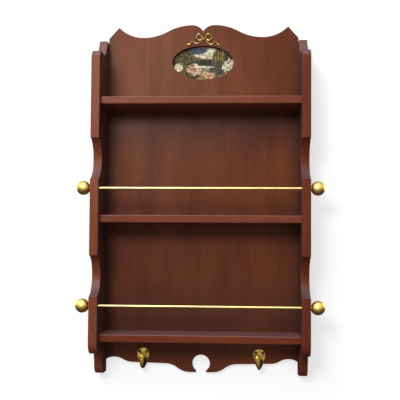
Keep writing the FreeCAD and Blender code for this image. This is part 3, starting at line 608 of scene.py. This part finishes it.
class Canvas:
    """The print's front as a grid of colours and brush heights, painted dab by dab."""

    def __init__(self, low, high):
        self.low = np.array([low.x, low.z])
        size = np.array([high.x, high.z]) - self.low
        self.count = np.round(size / CANVAS_STEP).astype(int) + 1
        self.step = size / (self.count - 1)
        self.middle = self.low + size / 2
        self.paint = np.zeros((*self.count, 3))
        self.height = np.zeros(tuple(self.count))
        self.dice = np.random.default_rng(PAINT_SEED)

    def dab(self, x, z, tone, length, width, angle, cover=0.85):
        """One brush stroke at x, z in millimetres from the middle of the oval."""
        centre = (self.middle + np.array([x, z]) * MM - self.low) / self.step
        reach = length * MM / self.step.min() + 1
        first = np.maximum(np.floor(centre - reach).astype(int), 0)
        last = np.minimum(np.ceil(centre + reach).astype(int) + 1, self.count)
        if (last <= first).any():
            return
        i, j = np.mgrid[first[0] : last[0], first[1] : last[1]]
        dx = (i - centre[0]) * self.step[0] / MM
        dz = (j - centre[1]) * self.step[1] / MM
        along = dx * math.cos(angle) + dz * math.sin(angle)
        across = -dx * math.sin(angle) + dz * math.cos(angle)
        inside = 1.0 - ((along / length) ** 2 + (across / width) ** 2)
        mask = np.clip(inside * DAB_EDGE, 0, 1) * cover
        window = (slice(first[0], last[0]), slice(first[1], last[1]))
        self.paint[window] += (np.array(tone) - self.paint[window]) * mask[..., None]
        ridges = 0.35 + 0.65 * np.cos(across * BRUSH_RIDGES / width)
        self.height[window] += (ridges - self.height[window]) * mask * 0.5

    def dabs(self, count, area, tones, length, width, angle, spread=0.4, cover=0.85):
        """Many strokes over an ellipse: area is its middle and half sizes in millimetres. length and
        width are a stroke's half sizes in millimetres, and spread is how much its angle varies."""
        x0, z0, half_x, half_z = area
        for _ in range(count):
            turn, away = self.dice.uniform(0, math.tau), math.sqrt(self.dice.uniform())
            x = x0 + half_x * away * math.cos(turn)
            z = z0 + half_z * away * math.sin(turn)
            tone = np.array(tones[self.dice.integers(len(tones))]) * self.dice.uniform(0.62, 0.94)
            size = self.dice.uniform(0.6, 1.3)
            lean = angle + self.dice.normal(0, spread)
            self.dab(x, z, tone, length * size, width * size, lean, cover)


def paint_lake_garden(canvas):
    """A lake between dark woods, a golden bank, a pale sky and a flowering shrub."""
    canvas.dabs(620, (0, 14, 80, 34), HAZE_TONES, 9, 3.2, 0.1)
    canvas.dabs(150, (10, 24, 30, 10), CLOUD_TONES, 7, 3.0, 0.5)
    canvas.dabs(80, (-14, 31, 22, 7), BLUE_TONES, 6, 2.4, 0.2)
    canvas.dabs(260, (0, -2, 80, 9), WOOD_TONES + LEAF_TONES[:1], 6, 2.6, 1.2)
    canvas.dabs(220, (2, -13, 42, 7), WATER_TONES, 9, 1.3, 0.0, 0.08)
    canvas.dabs(460, (-52, 10, 22, 34), WOOD_TONES, 6, 2.6, 1.1, 0.7)
    canvas.dabs(230, (-48, 16, 22, 26), LEAF_TONES, 3.4, 1.4, 0.8, 0.8)
    canvas.dabs(500, (48, 6, 22, 32), WOOD_TONES, 6, 2.6, 1.9, 0.7)
    canvas.dabs(150, (46, 12, 20, 24), LEAF_TONES[:3], 3.2, 1.3, 2.1, 0.8)
    for trunk in range(5):
        canvas.dabs(26, (24 + 6 * trunk, 4, 1.2, 24), MEADOW_TONES, 6, 0.9, 1.35 + 0.07 * trunk, 0.06)
    canvas.dabs(420, (26, -29, 56, 13), MEADOW_TONES, 6, 1.8, 0.25, 0.3)
    canvas.dabs(170, (34, -10, 20, 17), REED_TONES, 8.5, 1.0, 1.25, 0.25)
    canvas.dabs(150, (63, -8, 15, 17), CLOUD_TONES, 4.5, 1.6, 0.9, 0.6)
    canvas.dabs(40, (63, -8, 15, 17), WOOD_TONES, 4.0, 0.8, 0.9, 0.6)
    canvas.dabs(260, (-46, -28, 34, 13), SHADE_TONES + WOOD_TONES[:2], 5, 2.2, 0.6, 0.6)
    canvas.dabs(190, (-40, -20, 26, 13), LEAF_TONES, 3.0, 1.3, 1.0, 0.9)
    canvas.dabs(150, (-22, -15, 17, 14), BLOOM_TONES, 3.0, 2.0, 0.5, 1.2)
    canvas.dabs(60, (12, -29, 16, 8), BLOOM_TONES, 2.6, 1.6, 0.5, 1.2)
    canvas.dabs(60, (-60, -10, 10, 9), CLOUD_TONES, 2.8, 1.3, 0.9, 0.8)
    canvas.dabs(34, (6, -9, 26, 2), CLOUD_TONES[:2], 5, 0.6, 0.0, 0.04)


def oval_print():
    """A thin card in the recess, with the painted grid on its front and a plain back."""
    canvas = Canvas(PRINT_LOW, PRINT_HIGH)
    paint_lake_garden(canvas)
    across, up = canvas.count
    form = bmesh.new()
    paint = form.verts.layers.float_color.new("paint")
    brush = form.verts.layers.float.new("brush")
    rows = []
    for i in range(across):
        rows.append([])
        for j in range(up):
            x, z = canvas.low + canvas.step * (i, j)
            point = form.verts.new((x, PRINT_LOW.y, z))
            point[paint] = (*np.clip(canvas.paint[i, j], 0, 1), 1.0)
            point[brush] = float(canvas.height[i, j])
            rows[i].append(point)
    for i in range(across - 1):
        for j in range(up - 1):
            form.faces.new((rows[i][j], rows[i + 1][j], rows[i + 1][j + 1], rows[i][j + 1]))
    rim = [e for e in form.edges if e.is_boundary]
    walls = bmesh.ops.extrude_edge_only(form, edges=rim)["geom"]
    for point in (v for v in walls if isinstance(v, bmesh.types.BMVert)):
        point.co.y = PRINT_HIGH.y
        point[paint] = CARD_EDGE
    bmesh.ops.contextual_create(form, geom=[e for e in form.edges if e.is_boundary])
    bmesh.ops.recalc_face_normals(form, faces=form.faces)
    card = mesh_object("oval_print", made_mesh(form, "oval_print"), PRINT_PAINT)
    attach(card, "carcass")
    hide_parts("picture_print")


# ---------------------------------------------------------------- cast metal

GOLDEN_TURN = math.pi * (3 - math.sqrt(5))
RAY_COUNT = 96
RAY_LIFT = 0.12 * MM
GRAZING = 0.15


def even_directions(count):
    """Directions spread evenly all round."""
    directions = []
    for i in range(count):
        z = 1 - 2 * (i + 0.5) / count
        level = math.sqrt(1 - z * z)
        turn = GOLDEN_TURN * i
        directions.append(Vector((math.cos(turn) * level, math.sin(turn) * level, z)))
    return directions


RAYS = even_directions(RAY_COUNT)


def mark_hollows(mesh, reach):
    """Stores in the hollow attribute how much of the view outwards is blocked within reach, by the
    mesh itself or by the back panel behind it."""
    tree = BVHTree.FromPolygons([v.co for v in mesh.vertices], [p.vertices for p in mesh.polygons])
    hollow = mesh.attributes.new("hollow", "FLOAT", "POINT")
    for point in mesh.vertices:
        start = point.co + point.normal * RAY_LIFT
        outward_rays = [ray for ray in RAYS if ray.dot(point.normal) > GRAZING]
        blocked = 0
        for ray in outward_rays:
            if start.y + ray.y * reach > PANEL_FACE or tree.ray_cast(start, ray, reach)[0]:
                blocked += 1
        hollow.data[point.index].value = blocked / len(outward_rays)


def keep_inside(mesh, node):
    """Moves what the smoothing pushed out of the node's box back onto it."""
    low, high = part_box(node)
    for point in mesh.vertices:
        point.co = Vector(min(max(c, a), b) for c, a, b in zip(point.co, low, high))


CAST_GRAIN = 0.4 * MM
RUB_STRENGTH, RUB_ROUNDS = 0.5, 5
HOOK_PLATE = 2.5 * MM
HOOK_ARM_HEIGHT = 30 * MM
HOOK_HOLLOW_REACH = 24 * MM
PLATE_SKIN = 0.5 * MM
# Painted shade: the plate behind the arm a little darker than the arm
PLATE_SHADE = 0.05
HOOK_LEANS = {"left": -0.8 * MM, "right": -5.4 * MM}


def cast_hook(side, lean):
    """The hook with its edges rubbed round, as a casting has them, and its hollows marked. Its arm
    leans sideways: lean is how far the tip stands to the right of the plate's middle."""
    node = side + "_hook"
    raw = mesh_object(node + "_raw", made_mesh(merged_copy(node), node + "_casting"), HOOK_BRASS)
    skin = raw.modifiers.new("skin", "REMESH")
    skin.mode = "VOXEL"
    skin.voxel_size = CAST_GRAIN
    skin.use_smooth_shade = True
    rubbed = raw.modifiers.new("rubbed", "SMOOTH")
    rubbed.factor = RUB_STRENGTH
    rubbed.iterations = RUB_ROUNDS
    casting = applied(raw, node + "_casting", HOOK_BRASS)
    keep_inside(casting.data, node)

    plate_face = PANEL_FACE - HOOK_PLATE
    arm_reach = plate_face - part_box(node)[0].y
    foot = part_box(node)[0].z
    for point in casting.data.vertices:
        out = max(plate_face - point.co.y, 0) / arm_reach
        up = min((point.co.z - foot) / HOOK_ARM_HEIGHT, 1)
        point.co.x += lean * out * up

    mark_hollows(casting.data, HOOK_HOLLOW_REACH)
    hollow = casting.data.attributes["hollow"].data
    # Painted shade on the plate behind the arm
    for point in casting.data.vertices:
        if point.co.y > plate_face - PLATE_SKIN:
            hollow[point.index].value += PLATE_SHADE
    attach(casting, "carcass")
    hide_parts(node)


# ---------------------------------------------------------------- node trees for shapes


class Shapes:
    """A geometry node tree with named inputs, run on an object."""

    def __init__(self, name):
        self.tree = bpy.data.node_groups.new(name, "GeometryNodeTree")
        self.tree.interface.new_socket("Geometry", in_out="INPUT", socket_type="NodeSocketGeometry")
        self.tree.interface.new_socket("Geometry", in_out="OUTPUT", socket_type="NodeSocketGeometry")
        self.entry = self.tree.nodes.new("NodeGroupInput")
        self.values = {}

    def input(self, name, kind, value):
        """A named input of the tree and the value that it gets."""
        item = self.tree.interface.new_socket(name, in_out="INPUT", socket_type="NodeSocket" + kind)
        self.values[item.identifier] = value
        return self.entry.outputs[name]

    def node(self, kind, settings, out=0, **named):
        made = self.tree.nodes.new(kind)
        for key, value in settings.items():
            setattr(made, key, value)
        for key, value in named.items():
            socket = next(s for s in made.inputs if s.enabled and s.name == key.replace("_", " "))
            if isinstance(value, bpy.types.NodeSocket):
                self.tree.links.new(value, socket)
            else:
                socket.default_value = value
        return [s for s in made.outputs if s.enabled][out]

    def run(self, source, last, name, finish):
        """Ends the tree with real geometry in its finish, and returns the plain mesh object."""
        real = self.node("GeometryNodeRealizeInstances", {}, Geometry=last)
        dressed = self.node("GeometryNodeSetMaterial", {}, Geometry=real, Material=finish)
        leave = self.tree.nodes.new("NodeGroupOutput")
        self.tree.links.new(dressed, leave.inputs[0])
        modifier = source.modifiers.new(name, "NODES")
        modifier.node_group = self.tree
        for key, value in self.values.items():
            modifier[key] = value
        return applied(source, name, finish)


# ---------------------------------------------------------------- the ribbon bow

RIBBON_WIDTH = 3.9 * MM
RIBBON_THICKNESS = 2.0 * MM
RIBBON_EDGE = 0.9 * MM
RIBBON_EDGE_STEPS = 3
STRAND_STEPS = 9
BOW_HOLLOW_REACH = 7 * MM

# How far the ribbon is turned about its length
FLAT, HALF, EDGE = 0.0, math.radians(40), math.radians(78)

# Each strand of the ribbon: points to the right of the knot, above it and out from the panel, in
# millimetres, with the ribbon's tilt and its share of the full width there
BOW_STRANDS = (
    (  # left loop, from the knot out over its rolled end and back under
        (0.5, 0.3, 2.4, HALF, 0.7), (-4.6, 5.8, 2.0, EDGE, 0.8), (-7.8, 10.2, 2.0, EDGE, 0.9),
        (-12.0, 13.1, 3.0, FLAT, 1.5), (-15.8, 8.2, 2.0, EDGE, 0.9), (-17.6, 3.2, 2.0, HALF, 0.8),
        (-15.2, -1.6, 2.2, HALF, 1.0), (-9.2, -2.6, 2.8, FLAT, 1.05), (-2.4, -0.6, 2.2, HALF, 0.8),
    ),
    (  # right loop
        (-0.5, 0.3, 2.6, -HALF, 0.8), (4.6, 4.0, 2.6, -HALF, 0.9), (7.8, 9.8, 2.0, -EDGE, 0.9),
        (11.0, 13.2, 2.8, FLAT, 1.5), (17.0, 9.6, 2.0, -EDGE, 0.8), (19.8, 4.4, 1.8, -EDGE, 0.8),
        (18.6, -1.0, 2.2, -HALF, 1.0), (12.8, -2.8, 3.0, FLAT, 1.2), (3.2, -1.0, 2.2, -HALF, 0.8),
    ),
    (  # left tail
        (-1.2, -1.6, 1.8, EDGE, 0.6), (-7.0, -6.0, 1.8, EDGE, 0.8), (-11.4, -9.4, 2.2, HALF, 1.0),
        (-17.4, -10.6, 3.0, FLAT, 1.15), (-23.0, -7.6, 2.0, EDGE, 0.9), (-26.6, -4.0, 2.6, HALF, 1.0),
        (-29.6, -7.8, 1.8, EDGE, 0.8), (-34.2, -12.2, 3.0, FLAT, 1.05), (-40.4, -12.8, 1.8, HALF, 0.6),
    ),
    (  # right tail
        (1.4, -1.6, 1.8, -EDGE, 0.6), (8.0, -6.0, 1.8, -EDGE, 0.8), (13.8, -10.6, 2.2, -HALF, 1.0),
        (19.8, -13.4, 3.0, FLAT, 1.2), (24.4, -9.8, 2.0, -EDGE, 0.9), (27.6, -6.2, 2.4, -HALF, 0.9),
        (31.6, -9.4, 1.8, -EDGE, 0.8), (36.6, -13.8, 2.8, FLAT, 1.0), (40.6, -16.2, 1.6, -HALF, 0.5),
    ),
    (  # the knot, wrapped over the crossing
        (0.8, 2.6, 1.2, FLAT, 1.0), (0.4, 1.4, 3.0, FLAT, 1.1), (0.0, -0.2, 3.5, FLAT, 1.15),
        (-0.4, -1.8, 2.8, FLAT, 1.1), (-0.6, -2.8, 1.0, FLAT, 0.9),
    ),
)

# The two pins that hold the bow, left and right of the middle
PIN_REACH, PIN_HEIGHT = 11 * MM, 130 * MM
PIN_RADIUS, PIN_LENGTH = 0.8 * MM, 8 * MM
PIN_BEHIND_FACE = 2.6 * MM
PIN_SIDES = 14


def ribbon_bow():
    """The gilt bow: a ribbon swept along its strands and turned about its own length on the way."""
    paths = bpy.data.curves.new("bow_strands", "CURVE")
    paths.dimensions = "3D"
    for strand in BOW_STRANDS:
        line = paths.splines.new("POLY")
        line.points.add(len(strand) - 1)
        for point, (right, up, out, tilt, width) in zip(line.points, strand):
            point.co = (right * MM, up * MM, out * MM, 1.0)
            point.tilt = tilt
            point.radius = width
    strands = bpy.data.objects.new("bow_strands", paths)
    bpy.context.scene.collection.objects.link(strands)

    bow = Shapes("ribbon_along_strands")
    width = bow.input("Ribbon Width", "Float", RIBBON_WIDTH)
    thickness = bow.input("Ribbon Thickness", "Float", RIBBON_THICKNESS)
    rounding = bow.input("Edge Radius", "Float", RIBBON_EDGE)
    smooth = bow.node(
        "GeometryNodeCurveSplineType", {"spline_type": "CATMULL_ROM"}, Curve=bow.entry.outputs[0]
    )
    fine = bow.node("GeometryNodeSetSplineResolution", {}, Geometry=smooth, Resolution=STRAND_STEPS)
    facing = bow.node("GeometryNodeSetCurveNormal", {"mode": "Z_UP"}, Curve=fine)
    section = bow.node("GeometryNodeCurvePrimitiveQuadrilateral", {}, Width=width, Height=thickness)
    section = bow.node(
        "GeometryNodeFilletCurve", {"mode": "POLY"}, Curve=section, Count=RIBBON_EDGE_STEPS, Radius=rounding
    )
    ribbon = bow.node(
        "GeometryNodeCurveToMesh", {}, Curve=facing, Profile_Curve=section, Fill_Caps=True
    )
    ribbon = bow.node("GeometryNodeSetShadeSmooth", {}, Geometry=ribbon, Shade_Smooth=True)
    upright = (math.radians(90), 0.0, 0.0)
    standing = bow.node(
        "GeometryNodeTransform", {}, Geometry=ribbon, Translation=KNOT, Rotation=upright
    )
    gilt = bow.run(strands, standing, "ribbon_bow", BOW_GILT)

    form = bmesh.new()
    form.from_mesh(gilt.data)
    for side in (-1, 1):
        spot = Vector((side * PIN_REACH, PANEL_FACE + PIN_BEHIND_FACE, PIN_HEIGHT))
        bmesh.ops.create_cone(
            form,
            cap_ends=True,
            segments=PIN_SIDES,
            radius1=PIN_RADIUS,
            radius2=PIN_RADIUS,
            depth=PIN_LENGTH,
            matrix=Matrix.Translation(spot) @ Matrix.Rotation(math.radians(90), 4, "X"),
        )
    bmesh.ops.recalc_face_normals(form, faces=form.faces)
    form.to_mesh(gilt.data)
    form.free()
    mark_hollows(gilt.data, BOW_HOLLOW_REACH)
    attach(gilt, "carcass")
    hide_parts("bow_ornament")


# ---------------------------------------------------------------- screws

SCREW_SEED = 7
HEAD_RINGS, HEAD_SIDES = 14, 48
SIDE_TURNS = [math.tau * side / HEAD_SIDES for side in range(HEAD_SIDES)]
SCREW_CREASE = math.radians(50)

# The cross slot and the screw's tip, in shares of the radius of the head and of the shank
SLOT_REACH, SLOT_HALF_WIDTH, SLOT_DEPTH = 0.56, 0.13, 0.34
SLOT_SIDE_SLOPE, SLOT_END_SLOPE, SLOT_FLOOR_SLOPE = 0.06, 0.08, 0.5
TIP_SHARE = 0.12


def screw_mesh(name, outward, radius, dome, sink, shank, length):
    """One cross-slot screw about the Y axis: its head's rim is at Y = 0 and its shank points away
    from outward. The rings of the head run from its middle to its rim."""
    form = bmesh.new()
    rings = []
    for ring in range(1, HEAD_RINGS + 1):
        share = ring / HEAD_RINGS
        floor = SLOT_DEPTH * radius * (1 - SLOT_FLOOR_SLOPE * share)
        circle = []
        for turn in SIDE_TURNS:
            x, z = share * math.cos(turn), share * math.sin(turn)
            narrow = min(max((SLOT_HALF_WIDTH - min(abs(x), abs(z))) / SLOT_SIDE_SLOPE, 0), 1)
            near = min(max((SLOT_REACH - max(abs(x), abs(z))) / SLOT_END_SLOPE, 0), 1)
            rise = dome * (1 - share**2) - floor * narrow * near
            circle.append(form.verts.new((x * radius, outward * rise, z * radius)))
        rings.append(circle)
    for width, depth in ((shank, sink), (shank, length - shank), (shank * TIP_SHARE, length)):
        circle = []
        for turn in SIDE_TURNS:
            place = (width * math.cos(turn), -outward * depth, width * math.sin(turn))
            circle.append(form.verts.new(place))
        rings.append(circle)
    for inner, outer in zip(rings, rings[1:]):
        for side in range(HEAD_SIDES):
            after = (side + 1) % HEAD_SIDES
            form.faces.new((inner[side], inner[after], outer[after], outer[side]))
    form.faces.new(rings[0])
    form.faces.new(rings[-1])
    bmesh.ops.recalc_face_normals(form, faces=form.faces)
    for face in form.faces:
        face.smooth = True
    mesh = made_mesh(form, name)
    mesh.set_sharp_from_angle(angle=SCREW_CREASE)
    return mesh


def screw_pair(node, axis, outward, dome, sink, shank, finish, slot):
    """The two screws of a node, in a row along axis (X or Z), with their slots turned at random.
    outward is 1 for heads that look to the wall and -1 for heads that look to the front."""
    low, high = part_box(node)
    across = Z if axis == X else X
    radius = (high[across] - low[across]) / 2
    rim = (high.y if outward > 0 else low.y) - outward * dome
    length = (high.y - low.y) - dome
    places = []
    for end in (low[axis] + radius, high[axis] - radius):
        place = [0.0, rim, 0.0]
        place[axis] = end
        place[across] = low[across] + radius
        places.append(place)
    spots = bpy.data.meshes.new(node + "_places")
    spots.from_pydata(places, [], [])
    holes = mesh_object(node + "_places", spots, finish)
    one = node + "_one"
    screw = mesh_object(one, screw_mesh(one, outward, radius, dome, sink, shank, length), finish)

    pair = Shapes(node + "_in_holes")
    model = pair.input("Screw", "Object", screw)
    seed = pair.input("Seed", "Int", SCREW_SEED)
    turned = pair.node("FunctionNodeRandomValue", {}, Max=math.tau, Seed=seed)
    turn = pair.node("ShaderNodeCombineXYZ", {}, Y=turned)
    shape = pair.node("GeometryNodeObjectInfo", {}, out=-1, Object=model)
    put = pair.node(
        "GeometryNodeInstanceOnPoints", {}, Points=pair.entry.outputs[0], Instance=shape, Rotation=turn
    )
    screws = pair.run(holes, put, node + "_cross_slot", finish)
    bpy.data.objects.remove(screw)
    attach(screws, "carcass")
    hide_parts(node)


# ---------------------------------------------------------------- dressing

SHELF_SCREW = {"axis": X, "outward": 1, "dome": 0.0, "sink": 2.4 * MM, "shank": 2.0 * MM}
HOOK_SCREW = {"axis": X, "outward": -1, "dome": 2.2 * MM, "sink": 0.4 * MM, "shank": 1.5 * MM}
HANGER_SCREW = {"axis": Z, "outward": 1, "dome": 0.0, "sink": 1.4 * MM, "shank": 1.5 * MM}

eased_board("left_side_panel", LEFT_SIDE_WOOD, thickness=X)
eased_board("right_side_panel", RIGHT_SIDE_WOOD, thickness=X)
eased_board("back_panel", BACK_WOOD, thickness=Y)
for shelf, shelf_wood in SHELF_WOODS.items():
    eased_board(shelf, shelf_wood, thickness=Y)
    dress(shelf + "_dowels", DOWEL_WOOD)
    screw_pair(shelf + "_screws", **SHELF_SCREW, finish=SCREW_STEEL, slot="screw_steel")
dress("back_panel_dowels", DOWEL_WOOD)
dress("picture_backing", BACKING_BOARD)
dress("picture_brads", SCREW_STEEL)
ribbon_bow()
for rail in ("upper", "lower"):
    dress(rail + "_rail_rod", RAIL_BRASS)
    for side in ("left", "right"):
        dress(f"{rail}_{side}_finial", FINIAL_BRASS)
for side in ("left", "right"):
    cast_hook(side, HOOK_LEANS[side])
    screw_pair(side + "_hook_screws", **HOOK_SCREW, finish=HOOK_SCREW_BRASS, slot="hook_brass")
    dress(side + "_hanger_plate", HANGER_STEEL)
    screw_pair(side + "_hanger_screws", **HANGER_SCREW, finish=SCREW_STEEL, slot="screw_steel")
oval_print()


# ---------------------------------------------------------------- camera, light and room

# The lens in pixels of the square frame, how far down its axis meets the frame, and the camera's
# turns in radians
SENSOR_WIDTH = 36.0
FRAME_PIXELS = 400
FOCAL_PIXELS = 741.8
AXIS_PIXEL_DOWN = 216.0
CAMERA_PLACE = Vector((89.2, -1794.0, -386.3)) * MM
CAMERA_YAW, CAMERA_PITCH, CAMERA_ROLL = 0.0527, 0.0401, -0.0069


def photo_camera():
    """Looks at the rack from a little below its middle and a little to the right."""
    lens = bpy.data.cameras.new("photo_camera")
    lens.sensor_width = SENSOR_WIDTH
    lens.lens = SENSOR_WIDTH * FOCAL_PIXELS / FRAME_PIXELS
    lens.shift_y = AXIS_PIXEL_DOWN / FRAME_PIXELS - 0.5
    camera = bpy.data.objects.new("photo_camera", lens)
    camera.matrix_world = (
        Matrix.Translation(CAMERA_PLACE)
        @ Matrix.Rotation(CAMERA_YAW, 4, "Z")
        @ Matrix.Rotation(CAMERA_PITCH, 4, "X")
        @ Matrix.Rotation(CAMERA_ROLL, 4, "Y")
        @ Matrix.Rotation(math.radians(90), 4, "X")
    )
    bpy.context.scene.collection.objects.link(camera)
    bpy.context.scene.camera = camera


AIM = (cad_box[0] + cad_box[1]) / 2
WHITE = (1.0, 1.0, 1.0, 1.0)

# Each lamp's name, azimuth and elevation in degrees, distance, width and height in metres, and watts
LAMPS = (
    ("key_lamp", -13.0, 19.0, 2.4, (0.7, 0.6), 29.0),
    ("left_lamp", -36.0, 38.0, 2.2, (1.3, 1.5), 13.5),
    ("overhead_lamp", -12.0, 62.0, 2.0, (1.2, 2.2), 18.0),
    ("low_fill_lamp", 0.0, -12.0, 2.4, (1.6, 1.0), 2.5),
    ("right_rear_lamp", 122.0, 12.0, 2.4, (1.4, 1.4), 18.0),
    ("left_rear_lamp", 238.0, 12.0, 2.4, (1.4, 1.4), 18.0),
)


def soft_lamp(name, azimuth, elevation, distance, size, power):
    """A soft lamp aimed at the rack. Azimuth 0 is straight in front, and positive is to the right."""
    lamp = bpy.data.lights.new(name, "AREA")
    lamp.shape = "RECTANGLE"
    lamp.size, lamp.size_y = size
    lamp.energy = power
    turn, rise = math.radians(azimuth), math.radians(elevation)
    toward = Vector((math.sin(turn) * math.cos(rise), -math.cos(turn) * math.cos(rise), math.sin(rise)))
    made = bpy.data.objects.new(name, lamp)
    made.location = AIM + toward * distance
    made.rotation_mode = "QUATERNION"
    made.rotation_quaternion = (-toward).to_track_quat("-Z", "Y")
    bpy.context.scene.collection.objects.link(made)


# The room's light on the rack, and what metal mirrors of it
ROOM_LIGHT = 0.30
BRIGHT_SIDE = (-0.20, -0.80, 0.56)
BEHIND_GLOW, LOW_GLOW, HIGH_GLOW = 0.04, 0.16, 0.84


def room():
    """Plain light from all round. The camera sees white, and metal sees a room that is bright
    above and in front and dim below and behind."""
    world = bpy.data.worlds.new("room")
    world.use_nodes = True
    bpy.context.scene.world = world
    light = Nodes(world.node_tree)
    path = light.node("LightPath", {})
    mirrored = path.output("Is Glossy Ray")
    where = light.node("TexCoord", {}).output("Generated")
    ahead = light.node("VectorMath", {"operation": "DOT_PRODUCT"}, where, BRIGHT_SIDE)
    high = light.part(where, Z).between(-0.22, 0.34)
    glow = BEHIND_GLOW + ahead.between(-0.25, 0.40) * (LOW_GLOW + high * HIGH_GLOW)
    white = (path.output("Is Camera Ray") + path.output("Is Transmission Ray")).between(0.0, 1.0)
    strength = white + (1 - white) * (mirrored * glow + (1 - mirrored) * ROOM_LIGHT)
    light.end("World", light.node("Background", {}, WHITE, strength))


SELF_LIT, SELF_GLOW = 0.57, 1.15


def pale_paint():
    """White paint that shows the rack's soft shadow. Its back can't be seen, so that the rack can be
    looked at from behind the wall."""
    paint = Finish("pale_paint")
    tone = paint.mix(paint.noise(paint.place(), 3.0), (0.96, 0.96, 0.96), (0.98, 0.98, 0.98))
    matte = paint.node("BsdfDiffuse", {}, tone, 1.0)
    front = paint.node("MixShader", {}, SELF_LIT, matte, paint.node("Emission", {}, WHITE, SELF_GLOW))
    behind = paint.node("NewGeometry", {}).output("Backfacing")
    paint.end("Material", paint.node("MixShader", {}, behind, front, paint.node("BsdfTransparent", {})))
    return paint.material


def plain_sheet(name, corners, finish):
    """A flat sheet that takes no part in the light, the reflections and the shadows on the rack."""
    mesh = bpy.data.meshes.new(name)
    mesh.from_pydata(corners, [], [tuple(range(len(corners)))])
    sheet = mesh_object(name, mesh, finish)
    sheet.visible_diffuse = False
    sheet.visible_glossy = False
    sheet.visible_shadow = False


WALL_GAP = 0.6 * MM
ROOM_HALF = 4.0
FLOOR_HEIGHT = -1.45


def backdrop():
    """The wall behind the rack and the floor below it."""
    pale = pale_paint()
    left, right, low, high = -ROOM_HALF, ROOM_HALF, FLOOR_HEIGHT, ROOM_HALF
    outline = ((left, low), (right, low), (right, high), (left, high))
    plain_sheet("wall", [(x, WALL_GAP, z) for x, z in outline], pale)
    near, far = -ROOM_HALF, ROOM_HALF
    outline = ((left, near), (right, near), (right, far), (left, far))
    plain_sheet("floor", [(x, y, FLOOR_HEIGHT) for x, y in outline], pale)


photo_camera()
room()
backdrop()
for lamp_row in LAMPS:
    soft_lamp(*lamp_row)
bpy.context.scene.view_settings.view_transform = "Standard"
